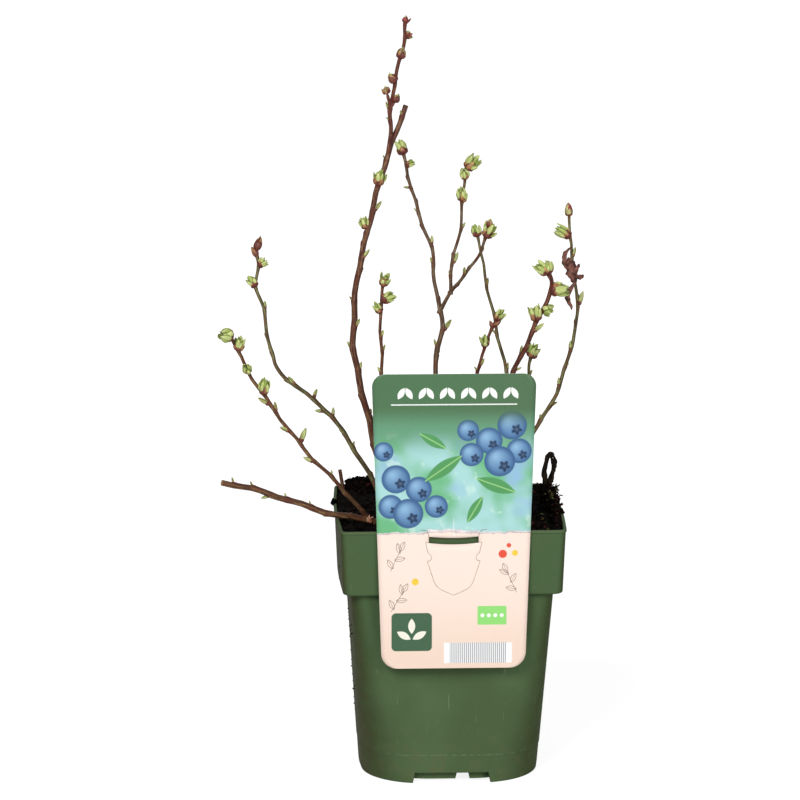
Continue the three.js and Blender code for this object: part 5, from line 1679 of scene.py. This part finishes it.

# %% [markdown]
# The tongue is cut out of the card, folded back over the rim and tucked down inside. It is a strip
# carried along a curve of y and z. The cut that freed it is a fine raised line on the card, grey with
# paler flecks: painted shade for the dark slit.

# %% The tongue and its cut
FOLD = [(-66.0, 153.65), (-64.6, 153.75), (-63.6, 153.6), (-62.9, 153.0), (-62.6, 151.5), (-62.3, 146),
        (-62.1, 139)]
CUT_LINE = [(19, 154.4), (16, 154.1), (14.9, 152.9), (14.2, 150.6), (14.2, 147), (16.1, 146.9),
            (14.7, 140.8), (13.7, 140.2), (12.8, 138.8), (12.8, 137.4), (13.4, 136.4), (15.1, 136.0),
            (13.0, 129.5), (11.4, 124.4), (10.2, 122.0), (8.2, 119.9), (4.6, 118.0), (0, 116)]
CUT_HALF = 0.16
CUT_DEPTH = 0.03

fold = smooth_curve([(0, y, z) for y, z in FOLD], 30)
thick = np.cross([1.0, 0, 0], unit(np.gradient(fold, axis=0))) * CARD_THICKNESS / 2
side = np.array([SLOT_HALF - 0.2, 0, 0])
tongue = np.stack([fold - side - thick, fold + side - thick, fold + side + thick, fold - side + thick], 1)
make_piece("card_tongue", skin(tongue[None]), [bare_card], "card", smooth=30)

corners = np.array([(x, CARD_FRONT, z) for x, z in CUT_LINE])
run = walked(corners)
right_half = along_line(np.linspace(0, run[-1], 160), run, corners)
line = np.concatenate([right_half, (right_half * [-1, 1, 1])[::-1][1:]])
forward = np.array([0, 1.0, 0])
across = np.cross(unit(np.gradient(line, axis=0)), forward)
loop = circle(across * CUT_HALF, forward * CUT_DEPTH, np.arange(6) * 2 * math.pi / 6)
# painted shade: the slit of the cut is drawn as a grey line with paler flecks
cut_slit_shade = Finish("shaded_slit_in_the_card", (128, 108, 98), shine=0.2)
cut_slit_shade.coat(cut_slit_shade.cloud(3).step(0.3, 0.7), (186, 166, 152))
grey_slit_shade = cut_slit_shade.finish(cut_slit_shade.cloud(1, 2) * 0.2 + 0.5, cut_slit_shade.cloud(0.3, 2), 0.02)
make_piece("tongue_cut", skin((line[:, None] + loop)[None]), [grey_slit_shade], "card", smooth=60)

# %% [markdown]
# ## Floor and light
# The bush stands on a light table, as growers' catalogues show it: a plain pale sheet that glows, so
# that the ground stays white and only a faint shadow lies under the pot. Two large lamps in front, a
# stronger one on the left, and a dim sky leave the flanks of the pot and of each shoot darker than
# their middles, which shows how round they are.

# %% Floor
FLOOR_HALF = 9000.0
GLOW_NEAR = 0.86
GLOW_FAR = 1.0
TABLE_LIGHT = 0.34  # the share of its glow that the table throws on the bush
floor_points = np.array([(-1, -1, 0), (1, -1, 0), (1, 1, 0), (-1, 1, 0)]) * FLOOR_HALF
floor_mesh = bpy.data.meshes.new("studio_floor")
floor_mesh.from_pydata((floor_points * MM).tolist(), [], [(0, 1, 2, 3)])
floor = bpy.data.objects.new("studio_floor", floor_mesh)
bpy.context.scene.collection.objects.link(floor)
pale = Finish("pale_floor", (160, 160, 160), shine=0.1)
pale.coat(pale.cloud(400, 2), (156, 156, 156))
fx, fy, _ = pale.millimetres()
far_off = pythagoras(fx, fy).step(350, 1100)
seen = pale.read("LightPath", "Is Camera Ray")
glow = (far_off * (GLOW_FAR - GLOW_NEAR) + GLOW_NEAR) * (seen * (1 - TABLE_LIGHT) + TABLE_LIGHT)
pale.shader.inputs["Emission Color"].default_value = (1, 1, 1, 1)
connect(pale.tree, glow, pale.shader.inputs["Emission Strength"])
floor_mesh.materials.append(pale.finish(pale.cloud(200, 2) * 0.1 + 0.8))
print("floor:", 2 * FLOOR_HALF * MM, "m across")

# %% Lamps and sky
SKY_LIGHT = 0.16
LAMPS = {  # place and size in metres, power in watts
    "key_lamp": ((-0.9, -2.0, 1.6), 0.9, 40), "fill_lamp": ((1.2, -2.0, 0.9), 1.0, 22),
    "back_lamp": ((0.3, 2.0, 1.6), 1.0, 8),
}
BUSH_MIDDLE = np.array([0, 0, 0.2])

for name, (place, size, power) in LAMPS.items():
    light = bpy.data.lights.new(name, "AREA")
    light.energy = power
    light.size = size
    lamp = bpy.data.objects.new(name, light)
    lamp.location = place
    x, y, z = BUSH_MIDDLE - place
    lamp.rotation_euler = (math.pi / 2 + math.atan2(z, math.hypot(x, y)), 0, math.atan2(y, x) - math.pi / 2)
    bpy.context.scene.collection.objects.link(lamp)

world = bpy.data.worlds.new("sky")
world.use_nodes = True
sky = world.node_tree.nodes["Background"]
sky.inputs["Color"].default_value = (1, 1, 1, 1)
seen = world.node_tree.nodes.new("ShaderNodeLightPath")
strength = Field(world.node_tree, seen.outputs["Is Camera Ray"]) * (1 - SKY_LIGHT) + SKY_LIGHT
connect(world.node_tree, strength, sky.inputs["Strength"])
bpy.context.scene.world = world
bpy.context.scene.view_settings.view_transform = "Standard"
print("lamps:", ", ".join(LAMPS))
